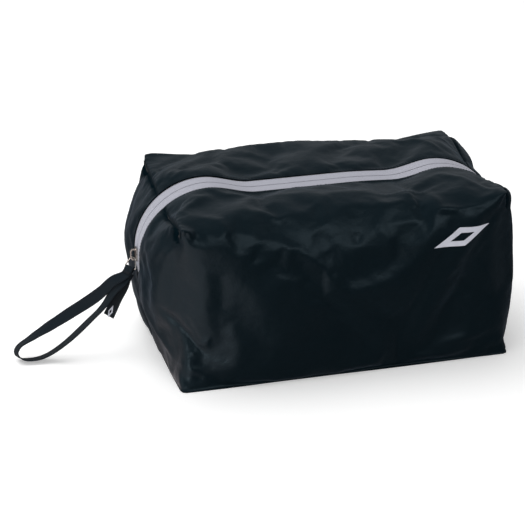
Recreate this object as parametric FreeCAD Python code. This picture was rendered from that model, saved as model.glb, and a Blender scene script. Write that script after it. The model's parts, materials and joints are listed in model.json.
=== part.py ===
import FreeCAD, Part
import math
import os

# A soft, box-shaped shoe bag of thin woven nylon. A coil zip runs up one end, over the top and down the
# other end. The zip's slider carries a wire ring, and a wrist strap hangs on the ring.
# Millimetres. The origin is the centre of the base on the ground, +Z is up, +X runs along the bag away
# from the slider, and -Y is the printed front. Each cloth panel is a thin shell, each seam a small gap.

# --- Bag ---
LENGTH_TOP = 330.0
LENGTH_BASE = 337.0
DEPTH_TOP = 191.0
DEPTH_BASE = 210.0
HEIGHT = 171.0
CLOTH = 0.8
GROUND_GAP = 0.3        # the walls end this far above the base's underside
FRONT_BULGE = 5.0       # how far the long walls swell at their middle
END_FOOT = 171.0        # distance of an end's centre line from the origin, at the ground
CORNER_SHARP = 6.0      # size of the upright corners' rounding at the base and the top
CORNER_SOFT = 22.0      # what the rounding gains at half height
EDGE_FOLD = 22.0        # how far the long walls' cloth reaches in over the top before the part that lifts
EDGE_ROLL = 40.0        # size of the soft roll from the top into a long wall, at mid-length; none at the corners

# --- Zip ---
ZIP_RADIUS = 69.5       # radius of the tape's outer face where the zip turns over an end
TURN_X = 119.5          # centre of that turn
TURN_Z = 105.0
SAG = 9.5               # how far the top sinks between the two turns
SAG_RUN = 50.0
TAPE_UNDER = 1.2        # depth of the tape's outer face below the cloth's outer face
TAPE_THICK = 0.5
TAPE_HALF = 18.0        # half of the tape's full width
CLOTH_EDGE = 15.5       # the cloth's folded edge lies this far from the zip's centre line
FLAT_HALF = 19.5        # the surface is flat across the zip, out to this distance
SLIT_HALF = 1.0         # half of the gap between the two tapes
COIL_NEAR = 1.3         # the coil halves start this far from the centre line
ZIP_END_Z = 86.0
COIL_WIDE = 2.0
COIL_DEEP = 2.1
COIL_UNDER = 0.1        # room between the tape and the coil

# --- Slider, ring and strap ---
SLIDER_LONG = 14.0
SLIDER_HALF = 4.7
PLATE = 1.4
BRIDGE_HALF = 1.0
BRIDGE_ROOM = 4.4
BRIDGE_THICK = 1.0
WIRE = 0.65
RING_YAW = 35.0         # the ring hangs turned by this angle about the vertical
RING_LEAN = 28.0        # and leans out from the bag by this angle
RING_DROP = 10.4        # from its top bar to its strap bar
RING_TOP_HALF = 2.95
RING_BAR_HALF = 7.6
RING_BEND = 1.2
STRAP_THICK = 1.0
STRAP_AT_RING = 5.5     # half widths of the strap
STRAP_FREE = 6.2
STRAP_WRAP = 1.4        # radius of the strap's middle layer round the strap bar

FABRIC_RADIUS = ZIP_RADIUS + TAPE_UNDER
HALF_TOP = LENGTH_TOP / 2
HALF_BASE = LENGTH_BASE / 2
OUT = "parts"


def vec(x, y, z):
    return FreeCAD.Vector(x, y, z)


def smooth(t):
    """0 up to t = 0, 1 from t = 1 on, with no slope at either end."""
    t = min(1.0, max(0.0, t))
    return t * t * (3 - 2 * t)


def lerp(a, b, t):
    return a + (b - a) * t


# --- The bag's outer surface ---

def half_length(z):
    return lerp(HALF_BASE, HALF_TOP, z / HEIGHT)


def half_depth(z):
    return lerp(DEPTH_BASE, DEPTH_TOP, z / HEIGHT) / 2


def end_centre_x(z):
    """Distance from the origin of an end's centre line at height z."""
    if z >= TURN_Z:
        return TURN_X + math.sqrt(FABRIC_RADIUS ** 2 - (z - TURN_Z) ** 2)
    widest = TURN_X + FABRIC_RADIUS
    return widest - (widest - END_FOOT) * (1 - z / TURN_Z) ** 2


def top_centre_z(x):
    """Height of the top's centre line at x."""
    over = abs(x) - TURN_X
    if over > 0:
        return TURN_Z + math.sqrt(FABRIC_RADIUS ** 2 - over ** 2)
    return TURN_Z + FABRIC_RADIUS - SAG * smooth(-over / SAG_RUN)


SEAM_LOW = top_centre_z(HALF_TOP)   # height at which the zip crosses the seam between top and end


def off_centre(y, z):
    """0 across the zip's flat band, 1 at the upright corner."""
    return max(0.0, (abs(y) - FLAT_HALF) / (half_depth(z) - FLAT_HALF))


def seam_z(y):
    """Height of the seam between the top and an end."""
    return lerp(SEAM_LOW, HEIGHT, min(1.0, off_centre(y, HEIGHT)) ** 1.1)


def roll_shift(x, past):
    """How far the roll takes a point in and down from the sharp edge, past the edge on to the wall or before it."""
    size = EDGE_ROLL * (1 - min(1.0, abs(x) / HALF_TOP) ** 3)
    if abs(past) >= size:
        return 0.0, 0.0
    t = 0.5 * (1 + past / size)
    return size * (1 - t) ** 2 - max(0.0, -past), size * t ** 2 - max(0.0, past)


def top_point(x, y):
    inward, drop = roll_shift(x, abs(y) - DEPTH_TOP / 2)
    rise = min(1.0, off_centre(y, HEIGHT)) ** 1.1
    return vec(x, y - math.copysign(inward, y), lerp(top_centre_z(x), HEIGHT, rise) - drop)


def end_point(side, share, rise):
    """On an end wall: share 0 to 1 from the centre line to the front corner, rise 0 to 1 up the wall."""
    z = rise * seam_z(share * half_depth(HEIGHT))
    y = -share * half_depth(z)
    bulge = end_centre_x(rise * SEAM_LOW) - half_length(rise * SEAM_LOW)
    swell = 1 - min(1.0, off_centre(y, z)) ** 1.8
    return vec(side * (half_length(z) + bulge * swell), y, z)


def front_point(across, rise):
    """On the front wall: across -1 to 1 along it, rise 0 to 1 up it."""
    z = rise * HEIGHT
    swell = FRONT_BULGE * math.sin(math.pi * rise) * (1 - across ** 2)
    inward, drop = roll_shift(across * HALF_TOP, HEIGHT - z)
    return vec(across * half_length(z), -(half_depth(z) + swell - inward), z - drop)


def corner_points(side, rise):
    """Rounds the upright corner between an end wall and the front wall, from the end to the front."""
    size = CORNER_SHARP + CORNER_SOFT * math.sin(math.pi * rise)
    z = rise * HEIGHT
    start = end_point(side, 1 - size / half_depth(z), rise)
    stop = front_point(side * (1 - size / half_length(z)), rise)
    tip = end_point(side, 1.0, rise)
    points = []
    for t in (0.0, 0.25, 0.5, 0.75, 1.0):
        points.append(start * (1 - t) ** 2 + tip * (2 * t * (1 - t)) + stop * t ** 2)
    return points


def cloth_edge(z):
    """Distance of the cloth's edge from the zip's centre line: a plain seam gap below the zip's end."""
    return lerp(1.0, CLOTH_EDGE, smooth((z - ZIP_END_Z + 6) / 16))


def end_stations(side, rise):
    """Points along an end wall, from the cloth's edge to the corner's rounding, closer near the corner."""
    size = CORNER_SHARP + CORNER_SOFT * math.sin(math.pi * rise)
    first = cloth_edge(rise * SEAM_LOW) / half_depth(rise * SEAM_LOW)
    last = 1 - size / half_depth(rise * HEIGHT)
    steps = 9
    return [end_point(side, lerp(first, last, math.sin(0.5 * math.pi * i / steps)), rise) for i in range(steps)]


def wall_row(rise):
    """One row of points round the front panel, from the left end's centre to the right end's centre."""
    size = CORNER_SHARP + CORNER_SOFT * math.sin(math.pi * rise)
    reach = 1 - size / half_length(rise * HEIGHT)
    row = end_stations(-1, rise) + corner_points(-1, rise)
    row += [front_point(-reach * math.cos(math.pi * i / 16), rise) for i in range(1, 16)]
    return row + corner_points(1, rise)[::-1] + end_stations(1, rise)[::-1]


# --- Solids from grids and profiles ---

def normals(grid):
    rows, cols = len(grid), len(grid[0])
    found = []
    for i in range(rows):
        line = []
        for j in range(cols):
            along = grid[min(i + 1, rows - 1)][j] - grid[max(i - 1, 0)][j]
            across = grid[i][min(j + 1, cols - 1)] - grid[i][max(j - 1, 0)]
            line.append(along.cross(across).normalize())
        found.append(line)
    return found


def offset_grid(grid, distance):
    """The grid moved by distance along its own normals."""
    up = normals(grid)
    return [[p + n * distance for p, n in zip(row, line)] for row, line in zip(grid, up)]


def knots(count):
    """Knot values and multiplicities of an evenly spaced cubic with this many control points, fixed at its ends."""
    spans = count - 3
    return list(range(spans + 1)), [4] + [1] * (spans - 1) + [4]


def smooth_surface(grid):
    """A cubic surface with the grid as its control points: it starts and ends on them and never overshoots."""
    u_knots, u_mults = knots(len(grid))
    v_knots, v_mults = knots(len(grid[0]))
    surface = Part.BSplineSurface()
    surface.buildFromPolesMultsKnots(grid, u_mults, v_mults, u_knots, v_knots, False, False, 3, 3)
    return surface


def solid_between(outer, inner):
    """A solid whose two main faces follow the two grids."""
    surfaces = [smooth_surface(grid) for grid in (outer, inner)]
    faces = [surface.toShape() for surface in surfaces]
    for at in range(2):
        by_u = [s.uIso(s.bounds()[at]).toShape() for s in surfaces]
        by_v = [s.vIso(s.bounds()[2 + at]).toShape() for s in surfaces]
        faces.append(Part.makeRuledSurface(by_u[0], by_u[1], 1))
        faces.append(Part.makeRuledSurface(by_v[0], by_v[1], 1))
    shell = Part.Shell(faces)
    shell.sewShape()
    solid = Part.Solid(shell)
    if solid.Volume < 0:
        solid.reverse()
    return solid


def cloth_from(grid):
    return solid_between(grid, offset_grid(grid, -CLOTH))


def columns(rows):
    """Turns rows of points into columns, so that a grid's first index runs along the rows."""
    return [list(column) for column in zip(*rows)]


def mirrored(shape, normal):
    return shape.mirror(vec(0, 0, 0), normal)


def to_back(shape):
    return mirrored(shape, vec(0, 1, 0))


def to_right(shape):
    return mirrored(shape, vec(1, 0, 0))


def prism(points, direction):
    face = Part.Face(Part.makePolygon(points + points[:1]))
    return face.extrude(direction)


def end_profile():
    """Points and outward directions in the XZ plane up the left end of the zip, on the cloth's surface."""
    tail = [ZIP_END_Z + i * (TURN_Z - ZIP_END_Z) / 3 for i in range(3)]
    points = [(vec(-end_centre_x(z), 0, z), vec(-1, 0, 0)) for z in tail]
    seam_angle = math.acos((HALF_TOP - TURN_X) / FABRIC_RADIUS)
    for i in range(9):
        angle = lerp(0.0, seam_angle - 0.008, i / 8)
        out = vec(-math.cos(angle), 0, math.sin(angle))
        points.append((vec(-TURN_X, 0, TURN_Z) + out * FABRIC_RADIUS, out))
    return points


def top_profile():
    """The same along the top of the zip, from the left seam to the right seam."""
    seam_angle = math.acos((HALF_TOP - TURN_X) / FABRIC_RADIUS)
    half = []
    for i in range(7):
        angle = lerp(seam_angle + 0.008, math.pi / 2, i / 6)
        out = vec(-math.cos(angle), 0, math.sin(angle))
        half.append((vec(-TURN_X, 0, TURN_Z) + out * FABRIC_RADIUS, out))
    steps = 12
    for i in range(1, steps + 1):
        x = -TURN_X + i * TURN_X / steps
        slope = (top_centre_z(x + 0.1) - top_centre_z(x - 0.1)) / 0.2
        half.append((vec(x, 0, top_centre_z(x)), vec(-slope, 0, 1).normalize()))
    other = [(vec(-p.x, 0, p.z), vec(-n.x, 0, n.z)) for p, n in half[:-1]]
    return half + other[::-1]


def band(profile, depth_out, depth_in, y_near, y_far):
    """A strip under the profile, between two depths below the cloth's surface and two distances from y = 0."""
    curves = []
    for depth in (depth_out, depth_in):
        curve = Part.BSplineCurve()
        curve.interpolate([p - n * depth for p, n in profile])
        curves.append(curve.toShape())
    ends = []
    for at in (0, 1):
        ends.append(Part.makeLine(*[c.Vertexes[-at].Point for c in curves]))
    face = Part.Face(Part.Wire(Part.__sortEdges__(curves + ends)))
    face.translate(vec(0, y_near, 0))
    return face.extrude(vec(0, y_far - y_near, 0))


# --- Cloth ---

def top_grid(near, far):
    """The front half of the top between two distances from the zip's centre line, corners rounded."""
    front = DEPTH_TOP / 2 - 2 * CLOTH
    grid = []
    for i in range(13):
        y = lerp(near, far, math.sin(0.5 * math.pi * i / 12))
        into_corner = max(0.0, y - front + CORNER_SHARP)
        reach = HALF_TOP - 2 * CLOTH - CORNER_SHARP + math.sqrt(CORNER_SHARP ** 2 - into_corner ** 2)
        grid.append([top_point(lerp(-reach, reach, i / 44), -y) for i in range(45)])
    return columns(grid[::-1])


def front_panel():
    """The front wall with the front halves of both ends, and the fold of its cloth in over the top."""
    first, rows = GROUND_GAP / HEIGHT, 27
    wall = cloth_from(columns([wall_row(lerp(first, 1.0, i / rows)) for i in range(rows + 1)]))
    edge = DEPTH_TOP / 2 - EDGE_FOLD
    fold = cloth_from(top_grid(edge + 0.3, DEPTH_TOP / 2 - 2 * CLOTH))
    return Part.Compound([wall, fold])


def front_top_panel():
    """The part of the top's front half that lifts when the bag is unzipped."""
    return cloth_from(top_grid(CLOTH_EDGE, DEPTH_TOP / 2 - EDGE_FOLD - 0.3))


def base_panel():
    room = 3 * CLOTH
    long, deep, corner = HALF_BASE - room, DEPTH_BASE / 2 - room, 5.0
    plate = Part.makeBox(2 * long, 2 * deep, 1.0, vec(-long, -deep, 0))
    upright = [e for e in plate.Edges if abs(e.tangentAt(e.FirstParameter).z) > 0.9]
    return plate.makeFillet(corner, upright)


def end_binding():
    """Tape round the raw edges of the left end's upright seam, standing into the bag as a fin."""
    depth, thick = 7.0, 1.2
    heights = [3.0 + i * (ZIP_END_Z - 7.0) / 6 for i in range(7)]
    outer = [vec(-end_centre_x(z) + CLOTH + 0.6, 0, z) for z in heights]
    inner = [p + vec(depth, 0, 0) for p in outer[::-1]]
    fin = prism(outer + inner, vec(0, thick, 0))
    fin.translate(vec(0, -thick / 2, 0))
    return fin


def base_binding():
    """The same along the left end's foot, lying on the base."""
    x = -(HALF_BASE - 10.0)
    half = DEPTH_BASE / 2 - 12.0
    return Part.makeBox(7.0, 2 * half, 1.2, vec(x, -half, 1.2))


def corner_binding():
    """The same under the seam between the top and the left end, from the zip to the front corner."""
    x = -(HALF_TOP - 2.6)
    ys = [-(TAPE_HALF + 2.0) - i * 9.5 for i in range(8)]
    upper = [vec(x, y, seam_z(y) - 3.0) for y in ys]
    lower = [p - vec(0, 0, 7.0) for p in upper[::-1]]
    return prism(upper + lower, vec(1.2, 0, 0))


# --- Zip ---

def tape(profile):
    return band(profile, TAPE_UNDER, TAPE_UNDER + TAPE_THICK, -TAPE_HALF, -SLIT_HALF)


def coil(profile):
    top = TAPE_UNDER + TAPE_THICK + COIL_UNDER
    return band(profile, top, top + COIL_DEEP, -COIL_NEAR - COIL_WIDE, -COIL_NEAR)


def end_stop():
    """A metal clip across both coils below the slider's rest position."""
    depth = TAPE_UNDER + TAPE_THICK + COIL_UNDER + COIL_DEEP + 0.2
    x = -end_centre_x(ZIP_END_Z) + depth
    half = COIL_NEAR + COIL_WIDE
    return Part.makeBox(1.0, 2 * half, 3.0, vec(x, -half, ZIP_END_Z + 1.5))


def rounded_plate(x, thick):
    """One of the slider's plates: shield-shaped in the YZ plane, narrowing to its lower end."""
    low, high = TURN_Z - SLIDER_LONG / 2, TURN_Z + SLIDER_LONG / 2
    narrow = SLIDER_HALF - 1.4
    outline = [vec(x, -narrow, low), vec(x, narrow, low), vec(x, SLIDER_HALF, low + 5.0),
               vec(x, SLIDER_HALF, high), vec(x, -SLIDER_HALF, high), vec(x, -SLIDER_HALF, low + 5.0)]
    plate = prism(outline, vec(thick, 0, 0))
    upright = [e for e in plate.Edges if abs(e.tangentAt(e.FirstParameter).x) > 0.9]
    return plate.makeFillet(1.5, upright)


def slider():
    """Die-cast slider: two plates joined by a wedge in the slit, side flanges, and the ring's bridge."""
    face = -(TURN_X + ZIP_RADIUS)
    outer = face - 0.35 - PLATE
    inner = -face - TAPE_THICK - COIL_UNDER - COIL_DEEP - 0.6
    plate_out = rounded_plate(outer, PLATE)
    plate_in = rounded_plate(-inner, PLATE)
    low = TURN_Z - SLIDER_LONG / 2
    wedge = Part.makeBox(-inner - outer, 0.7, 3.2, vec(outer, -0.35, low + 0.6))
    body = plate_out.fuse([plate_in, wedge])
    for side in (-1, 1):
        y = min(side * SLIDER_HALF, side * (SLIDER_HALF - 0.8))
        lip = -inner - (face + TAPE_THICK + 0.7)
        body = body.fuse(Part.makeBox(lip + 0.5, 0.8, 7.5, vec(-inner - lip, y, TURN_Z - 1.5)))
    return body.fuse(bridge(outer)).removeSplitter()


def bridge(plate_face):
    """The arch on the slider's outer plate that the ring hangs in."""
    foot, reach = 1.4, SLIDER_LONG / 2 - 0.8
    top = BRIDGE_ROOM + BRIDGE_THICK
    outside = [(0, -reach), (-top + 2.0, -reach), (-top, -reach + 2.6), (-top, reach - 2.6),
               (-top + 2.0, reach), (0, reach)]
    room = BRIDGE_ROOM
    inside = [(0, reach - foot), (-room + 1.2, reach - foot), (-room, reach - foot - 1.8),
              (-room, -reach + foot + 1.8), (-room + 1.2, -reach + foot), (0, -reach + foot)]
    outline = [vec(plate_face + x, -BRIDGE_HALF, TURN_Z + z) for x, z in outside + inside]
    return prism(outline, vec(0, 2 * BRIDGE_HALF, 0))


# --- Ring and strap: directions at rest ---
YAW, LEAN = math.radians(RING_YAW), math.radians(RING_LEAN)
BAR = vec(math.sin(YAW), -math.cos(YAW), 0)
AWAY = vec(-math.cos(YAW), -math.sin(YAW), 0)
DOWN = AWAY * math.sin(LEAN) - vec(0, 0, 1) * math.cos(LEAN)
RING_AXIS = vec(-(TURN_X + ZIP_RADIUS) - 0.35 - PLATE - 2.35, 0, TURN_Z - SLIDER_LONG / 2 + 3.4)
STRAP_BAR = RING_AXIS + DOWN * RING_DROP
LEAD = vec(-0.60, -0.42, -0.68).normalize()   # the way the strap leaves its bar
FACE = LEAD.cross(BAR).normalize()            # square to the strap there, towards the front


def rounded_loop(points, bend):
    """A closed wire through the points with its corners rounded to the radius bend."""
    edges, starts, stops = [], [], []
    count = len(points)
    for i, corner in enumerate(points):
        before = (points[i - 1] - corner).normalize()
        after = (points[(i + 1) % count] - corner).normalize()
        half = math.acos(max(-1.0, min(1.0, before.dot(after)))) / 2
        cut = bend / math.tan(half)
        middle = corner + (before + after).normalize() * (bend / math.sin(half) - bend)
        starts.append(corner + before * cut)
        stops.append(corner + after * cut)
        edges.append(Part.Arc(starts[-1], middle, stops[-1]).toShape())
    for i in range(count):
        edges.append(Part.makeLine(stops[i], starts[(i + 1) % count]))
    return Part.Wire(Part.__sortEdges__(edges))


def pull_ring():
    """The wire ring: a narrow top bar in the slider's bridge and a wide bar for the strap."""
    top, low = RING_AXIS, STRAP_BAR
    corners = [top - BAR * RING_TOP_HALF, top + BAR * RING_TOP_HALF,
               low + BAR * RING_BAR_HALF, low - BAR * RING_BAR_HALF]
    path = rounded_loop(corners, RING_BEND)
    start = path.OrderedEdges[0]
    at = start.valueAt(start.FirstParameter)
    section = Part.Wire(Part.makeCircle(WIRE, at, start.tangentAt(start.FirstParameter)))
    return path.makePipeShell([section], True, False)


def even_stations(stations, step):
    """Evenly spaced (centre, width direction, half width) stations on a smooth curve through the given ones."""
    curve = Part.BSplineCurve()
    curve.interpolate([s[0] for s in stations])
    begin = curve.FirstParameter
    marks = [curve.length(begin, curve.parameter(s[0])) for s in stations]
    count = math.ceil(marks[-1] / step)
    result, i = [], 0
    for k in range(count + 1):
        at = marks[-1] * k / count
        while i < len(marks) - 2 and marks[i + 1] < at:
            i += 1
        t = (at - marks[i]) / (marks[i + 1] - marks[i])
        centre = curve.value(curve.parameterAtDistance(at, begin)) if k else stations[0][0]
        result.append((centre, lerp(stations[i][1], stations[i + 1][1], smooth(t)),
                       lerp(stations[i][2], stations[i + 1][2], t)))
    return result


def strip(stations, thick, step):
    """A flat strip along (centre, width direction, half width) stations."""
    stations = even_stations(stations, step)
    centres = [s[0] for s in stations]
    outer, inner = [], []
    for i, (centre, width, half) in enumerate(stations):
        ahead = centres[min(i + 1, len(centres) - 1)] - centres[max(i - 1, 0)]
        ahead.normalize()
        side = (width - ahead * width.dot(ahead)).normalize()
        up = ahead.cross(side).normalize() * (thick / 2)
        line = [centre + side * (half * k) for k in (-1.0, -0.34, 0.34, 1.0)]
        outer.append([p + up for p in line])
        inner.append([p - up for p in line])
    return solid_between(outer, inner)


# The strap's free run: (centre, width direction). It leaves the stitching, runs down to the ground and
# along it to the tip, and comes back above, turning about its own length as it goes.
STRAP_RUN = [
    (vec(-215.1, -7.8, 71.0), vec(0.50, -0.83, 0.20)),
    (vec(-225.1, -8.5, 57.5), vec(0.42, -0.84, 0.34)),
    (vec(-237.5, -8.9, 45.1), vec(0.39, -0.84, 0.38)),
    (vec(-255.2, -6.1, 27.3), vec(0.36, -0.86, 0.35)),
    (vec(-274.5, -3.7, 11.4), vec(0.25, -0.92, 0.28)),
    (vec(-290.3, -3.0, 3.9), vec(0.15, -0.96, 0.22)),
    (vec(-302.3, -2.0, 2.7), vec(0.15, -0.96, 0.22)),
    (vec(-310.3, 0.5, 4.2), vec(0.20, -0.94, 0.26)),
    (vec(-314, 3.6, 8.8), vec(0.25, -0.92, 0.30)),
    (vec(-311, 6.3, 14.1), vec(0.32, -0.90, 0.30)),
    (vec(-303.7, 7.7, 18.4), vec(0.40, -0.88, 0.24)),
    (vec(-293, 8.1, 24.4), vec(0.45, -0.88, 0.10)),
    (vec(-275.6, 6.0, 35.3), vec(0.49, -0.84, -0.20)),
    (vec(-254.6, 2.7, 49.0), vec(0.50, -0.70, -0.48)),
    (vec(-233.1, 0.0, 63.0), vec(0.48, -0.52, -0.70)),
    (vec(-222.6, -2.2, 72.5), vec(0.50, -0.66, -0.56)),
    (vec(-213.6, -4.2, 81.2), vec(0.55, -0.77, -0.32)),
]
LAYER = STRAP_THICK + 0.35


def wrist_strap():
    """One strip: from the stitching out to the tip, back, and round the strap bar to the stitching."""
    tuck = STRAP_BAR + LEAD * 6.0 - FACE * (1.5 * LAYER)
    stations = [(tuck, BAR, STRAP_AT_RING), (tuck + LEAD * 5.5, BAR, STRAP_AT_RING)]
    last = len(STRAP_RUN) - 1
    for i, (centre, width) in enumerate(STRAP_RUN):
        ease = smooth(min(i, last - i) / 2.5)
        stations.append((centre, width, lerp(STRAP_AT_RING, STRAP_FREE, ease)))
    stations.append((STRAP_BAR + LEAD * 6.5 + FACE * (0.6 * LAYER), BAR, STRAP_AT_RING))
    for turn in range(0, 181, 30):
        angle = math.radians(turn)
        round_bar = FACE * math.cos(angle) - LEAD * math.sin(angle)
        stations.append((STRAP_BAR + round_bar * STRAP_WRAP, BAR, STRAP_AT_RING))
    for along in (4.0, 7.0, 10.0):
        stations.append((STRAP_BAR + LEAD * along - FACE * (0.5 * LAYER), BAR, STRAP_AT_RING))
    return strip(stations, STRAP_THICK, 0.8)


TAB_RUN = [vec(-206.2, -8.0, 74), vec(-212.3, -9.5, 64.3), vec(-217.3, -11.0, 55), vec(-222.1, -12.5, 46.3)]
TAB_WIDTH = vec(0.8, -0.6, 0)
TAB_HALF = 6.0
TAB_THICK = 0.8


def strap_tab():
    """The woven tab: a short flat strip sewn under the strap's stitched layers, hanging below them."""
    below = FACE * (2 * LAYER + TAB_THICK / 2 + 0.5)
    stations = [(STRAP_BAR + LEAD * along - below, BAR, TAB_HALF) for along in (5.0, 9.0)]
    stations += [(centre, TAB_WIDTH, TAB_HALF) for centre in TAB_RUN]
    return strip(stations, TAB_THICK, 3.0)


def strap_bartack():
    """Three bars of thread on the strap, where its layers and the tab are sewn together."""
    bars = []
    for along in (5.2, 6.2, 7.2):
        centre = STRAP_BAR + LEAD * along + FACE * (1.5 * LAYER)
        bars.append(Part.makeCylinder(0.3, 2 * STRAP_AT_RING - 2, centre - BAR * (STRAP_AT_RING - 1), BAR))
    return Part.Compound(bars)


# --- Prints: a plain lozenge with a slit ---

def lozenge(long, high, origin, along, up):
    """A lozenge less its inner slit, as a face."""
    outer = [origin + along * (long * a) + up * (high * b) for a, b in ((-1, 0), (0, -1), (1, 0), (0, 1))]
    inner = [origin + (p - origin) * 0.42 for p in outer]
    faces = [Part.Face(Part.makePolygon(points + points[:1])) for points in (outer, inner)]
    return faces[0].cut(faces[1])


def front_print():
    """The print near the front wall's upper right corner, following the wall."""
    slant = math.radians(15)
    centre = vec(114, -DEPTH_BASE / 2 - 20, 134)
    along, up = vec(math.cos(slant), 0, math.sin(slant)), vec(-math.sin(slant), 0, math.cos(slant))
    cutter = lozenge(31.0, 9.5, centre, along, up).extrude(vec(0, 40, 0))
    patch = [[front_point(0.46 + 0.06 * i, 0.6 + 0.06 * j) for j in range(7)] for i in range(8)]
    film = solid_between(offset_grid(patch, 0.5), offset_grid(patch, 0.3))
    return film.common(cutter)


def tab_print():
    """A small one on the tab."""
    low, high = TAB_RUN[-1], TAB_RUN[-2]
    along = (high - low).normalize()
    across = (TAB_WIDTH - along * TAB_WIDTH.dot(along)).normalize()
    out = along.cross(across).normalize()
    if out.y > 0:
        out = out * -1
    centre = (low + high) * 0.5 + out * 0.62
    return lozenge(7.0, 2.4, centre, along, across).extrude(out * 0.2)


def nodes():
    """Every sub-part by its name."""
    made = {"front_panel": front_panel(), "front_top_panel": front_top_panel()}
    ends, top = end_profile(), top_profile()
    left = {"front_tape_left": tape(ends), "front_coil_left": coil(ends),
            "front_corner_binding_left": corner_binding()}
    made.update(left)
    made.update({name.replace("left", "right"): to_right(shape) for name, shape in left.items()})
    made.update({"front_tape_top": tape(top), "front_coil_top": coil(top)})
    made.update({name.replace("front", "back"): to_back(shape) for name, shape in made.items()})
    crosswise = {"zip_stop_left": end_stop(), "end_binding_left": end_binding(),
                 "base_binding_left": base_binding()}
    made.update(crosswise)
    made.update({name.replace("left", "right"): to_right(shape) for name, shape in crosswise.items()})
    made.update({"base_panel": base_panel(), "zip_slider": slider(), "pull_ring": pull_ring(),
                 "wrist_strap": wrist_strap(), "strap_tab": strap_tab(), "strap_bartack": strap_bartack(),
                 "front_print": front_print(), "tab_print": tab_print()})
    return made


def main():
    os.makedirs(OUT, exist_ok=True)
    for name, shape in sorted(nodes().items()):
        shape.exportStep(os.path.join(OUT, name + ".step"))
        good = all(s.isValid() and s.isClosed() and s.Volume > 0 for s in shape.Solids)
        print(name, "solids", len(shape.Solids), "ok" if good and shape.Solids else "BAD", round(shape.Volume, 1))
    for name, p in (("ring axis", RING_AXIS), ("strap bar", STRAP_BAR), ("bar direction", BAR)):
        print(name, round(p.x, 3), round(p.y, 3), round(p.z, 3))


main()
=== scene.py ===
import bpy
import json
import math
import numpy as np
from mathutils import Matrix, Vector
from mathutils.bvhtree import BVHTree


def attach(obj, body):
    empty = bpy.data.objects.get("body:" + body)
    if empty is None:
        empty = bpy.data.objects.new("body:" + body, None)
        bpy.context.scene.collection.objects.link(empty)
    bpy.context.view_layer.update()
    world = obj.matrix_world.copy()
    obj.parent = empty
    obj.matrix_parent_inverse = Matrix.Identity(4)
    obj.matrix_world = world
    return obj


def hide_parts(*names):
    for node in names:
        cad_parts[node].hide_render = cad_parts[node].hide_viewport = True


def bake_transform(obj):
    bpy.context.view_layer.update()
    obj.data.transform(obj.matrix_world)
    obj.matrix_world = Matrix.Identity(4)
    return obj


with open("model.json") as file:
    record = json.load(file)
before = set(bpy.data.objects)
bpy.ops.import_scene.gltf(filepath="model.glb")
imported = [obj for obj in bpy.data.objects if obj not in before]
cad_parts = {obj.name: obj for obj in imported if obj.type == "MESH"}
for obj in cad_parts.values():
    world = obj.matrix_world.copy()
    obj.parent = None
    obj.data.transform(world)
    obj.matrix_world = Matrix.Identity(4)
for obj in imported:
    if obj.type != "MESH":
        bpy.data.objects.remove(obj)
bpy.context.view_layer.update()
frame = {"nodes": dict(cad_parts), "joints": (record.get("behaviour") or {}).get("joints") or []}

# The visual model of a soft nylon shoe bag. Lengths are millimetres up to the point where a mesh is made.
# -Y is the printed front, -X the end with the slider, +Z up.

MM = 0.001

# --- Bag: the same outer surface as the CAD panels ---
LENGTH_TOP, LENGTH_BASE = 330.0, 337.0
DEPTH_TOP, DEPTH_BASE = 191.0, 210.0
HEIGHT = 171.0
FRONT_BULGE = 5.0                       # how far a long wall swells at its middle
END_FOOT = 171.0                        # an end's centre line is this far out at the ground
CORNER_SHARP, CORNER_SOFT = 6.0, 22.0   # size of an upright corner, and what it gains half way up
HINGE_Y, HINGE_Z = 73.5, 172.5          # the flaps lift about these lines
FRONT_ROLL, BACK_ROLL = 40.0, 5.0       # size of the roll from the top into a long wall, at mid-length
FRONT_SOFTEN, BACK_SOFTEN = 1.0, 0.1    # share of the softening that each long edge takes
SOFTEN_ROUNDS = 26
CORNER_PUSH = 13.0                      # the left front corner is pushed in by this much at half height
RADIUS = 70.7                           # the cloth's turn over an end
TURN_X, TURN_Z = 119.5, 105.0           # centre of that turn
SAG, SAG_RUN = 9.5, 50.0                # the zip's dip between the ends
FLAT_HALF = 19.5                        # half width of the flat strip beside the zip
CLOTH_EDGE = 15.5                       # half width of the gap that shows the zip
ZIP_FOOT = 82.0                         # the two cloth edges meet at this height below the zip
HALF_TOP = LENGTH_TOP / 2               # the seams between the top and the ends
TWIST, FAR_DROP = 4.0, 4.0              # how the filled bag leans: see lean()
CLOTH = 0.45                            # drawn thickness of the cloth

# --- Mesh of the shell ---
ROWS = 42
# quads across a flap, from its hinge line to the long edge, and along a wall
LIFT_COLS, FOLD_COLS, FRONT_COLS = 16, 6, 84
END_COLS = LIFT_COLS + FOLD_COLS
REGIONS = ("front", "back", "base", "front_left", "front_right", "back_left", "back_right")


def smooth(t):
    t = np.clip(t, 0.0, 1.0)
    return t * t * (3 - 2 * t)


def lerp(a, b, t):
    return a + (b - a) * t


def unit(v):
    return v / np.maximum(np.linalg.norm(v, axis=-1, keepdims=True), 1e-12)


def half_length(z):
    return lerp(LENGTH_BASE, LENGTH_TOP, z / HEIGHT) / 2


def half_depth(z):
    return lerp(DEPTH_BASE, DEPTH_TOP, z / HEIGHT) / 2


def end_centre_x(z):
    """Distance from the origin of an end's centre line at height z."""
    if z >= TURN_Z:
        return TURN_X + math.sqrt(RADIUS ** 2 - (z - TURN_Z) ** 2)
    widest = TURN_X + RADIUS
    return widest - (widest - END_FOOT) * (1 - z / TURN_Z) ** 2


def top_centre_z(x):
    """Height of the top's centre line at x."""
    over = abs(x) - TURN_X
    if over > 0:
        return TURN_Z + math.sqrt(RADIUS ** 2 - over ** 2)
    return TURN_Z + RADIUS - SAG * float(smooth(-over / SAG_RUN))


SEAM_LOW = top_centre_z(HALF_TOP)


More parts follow.
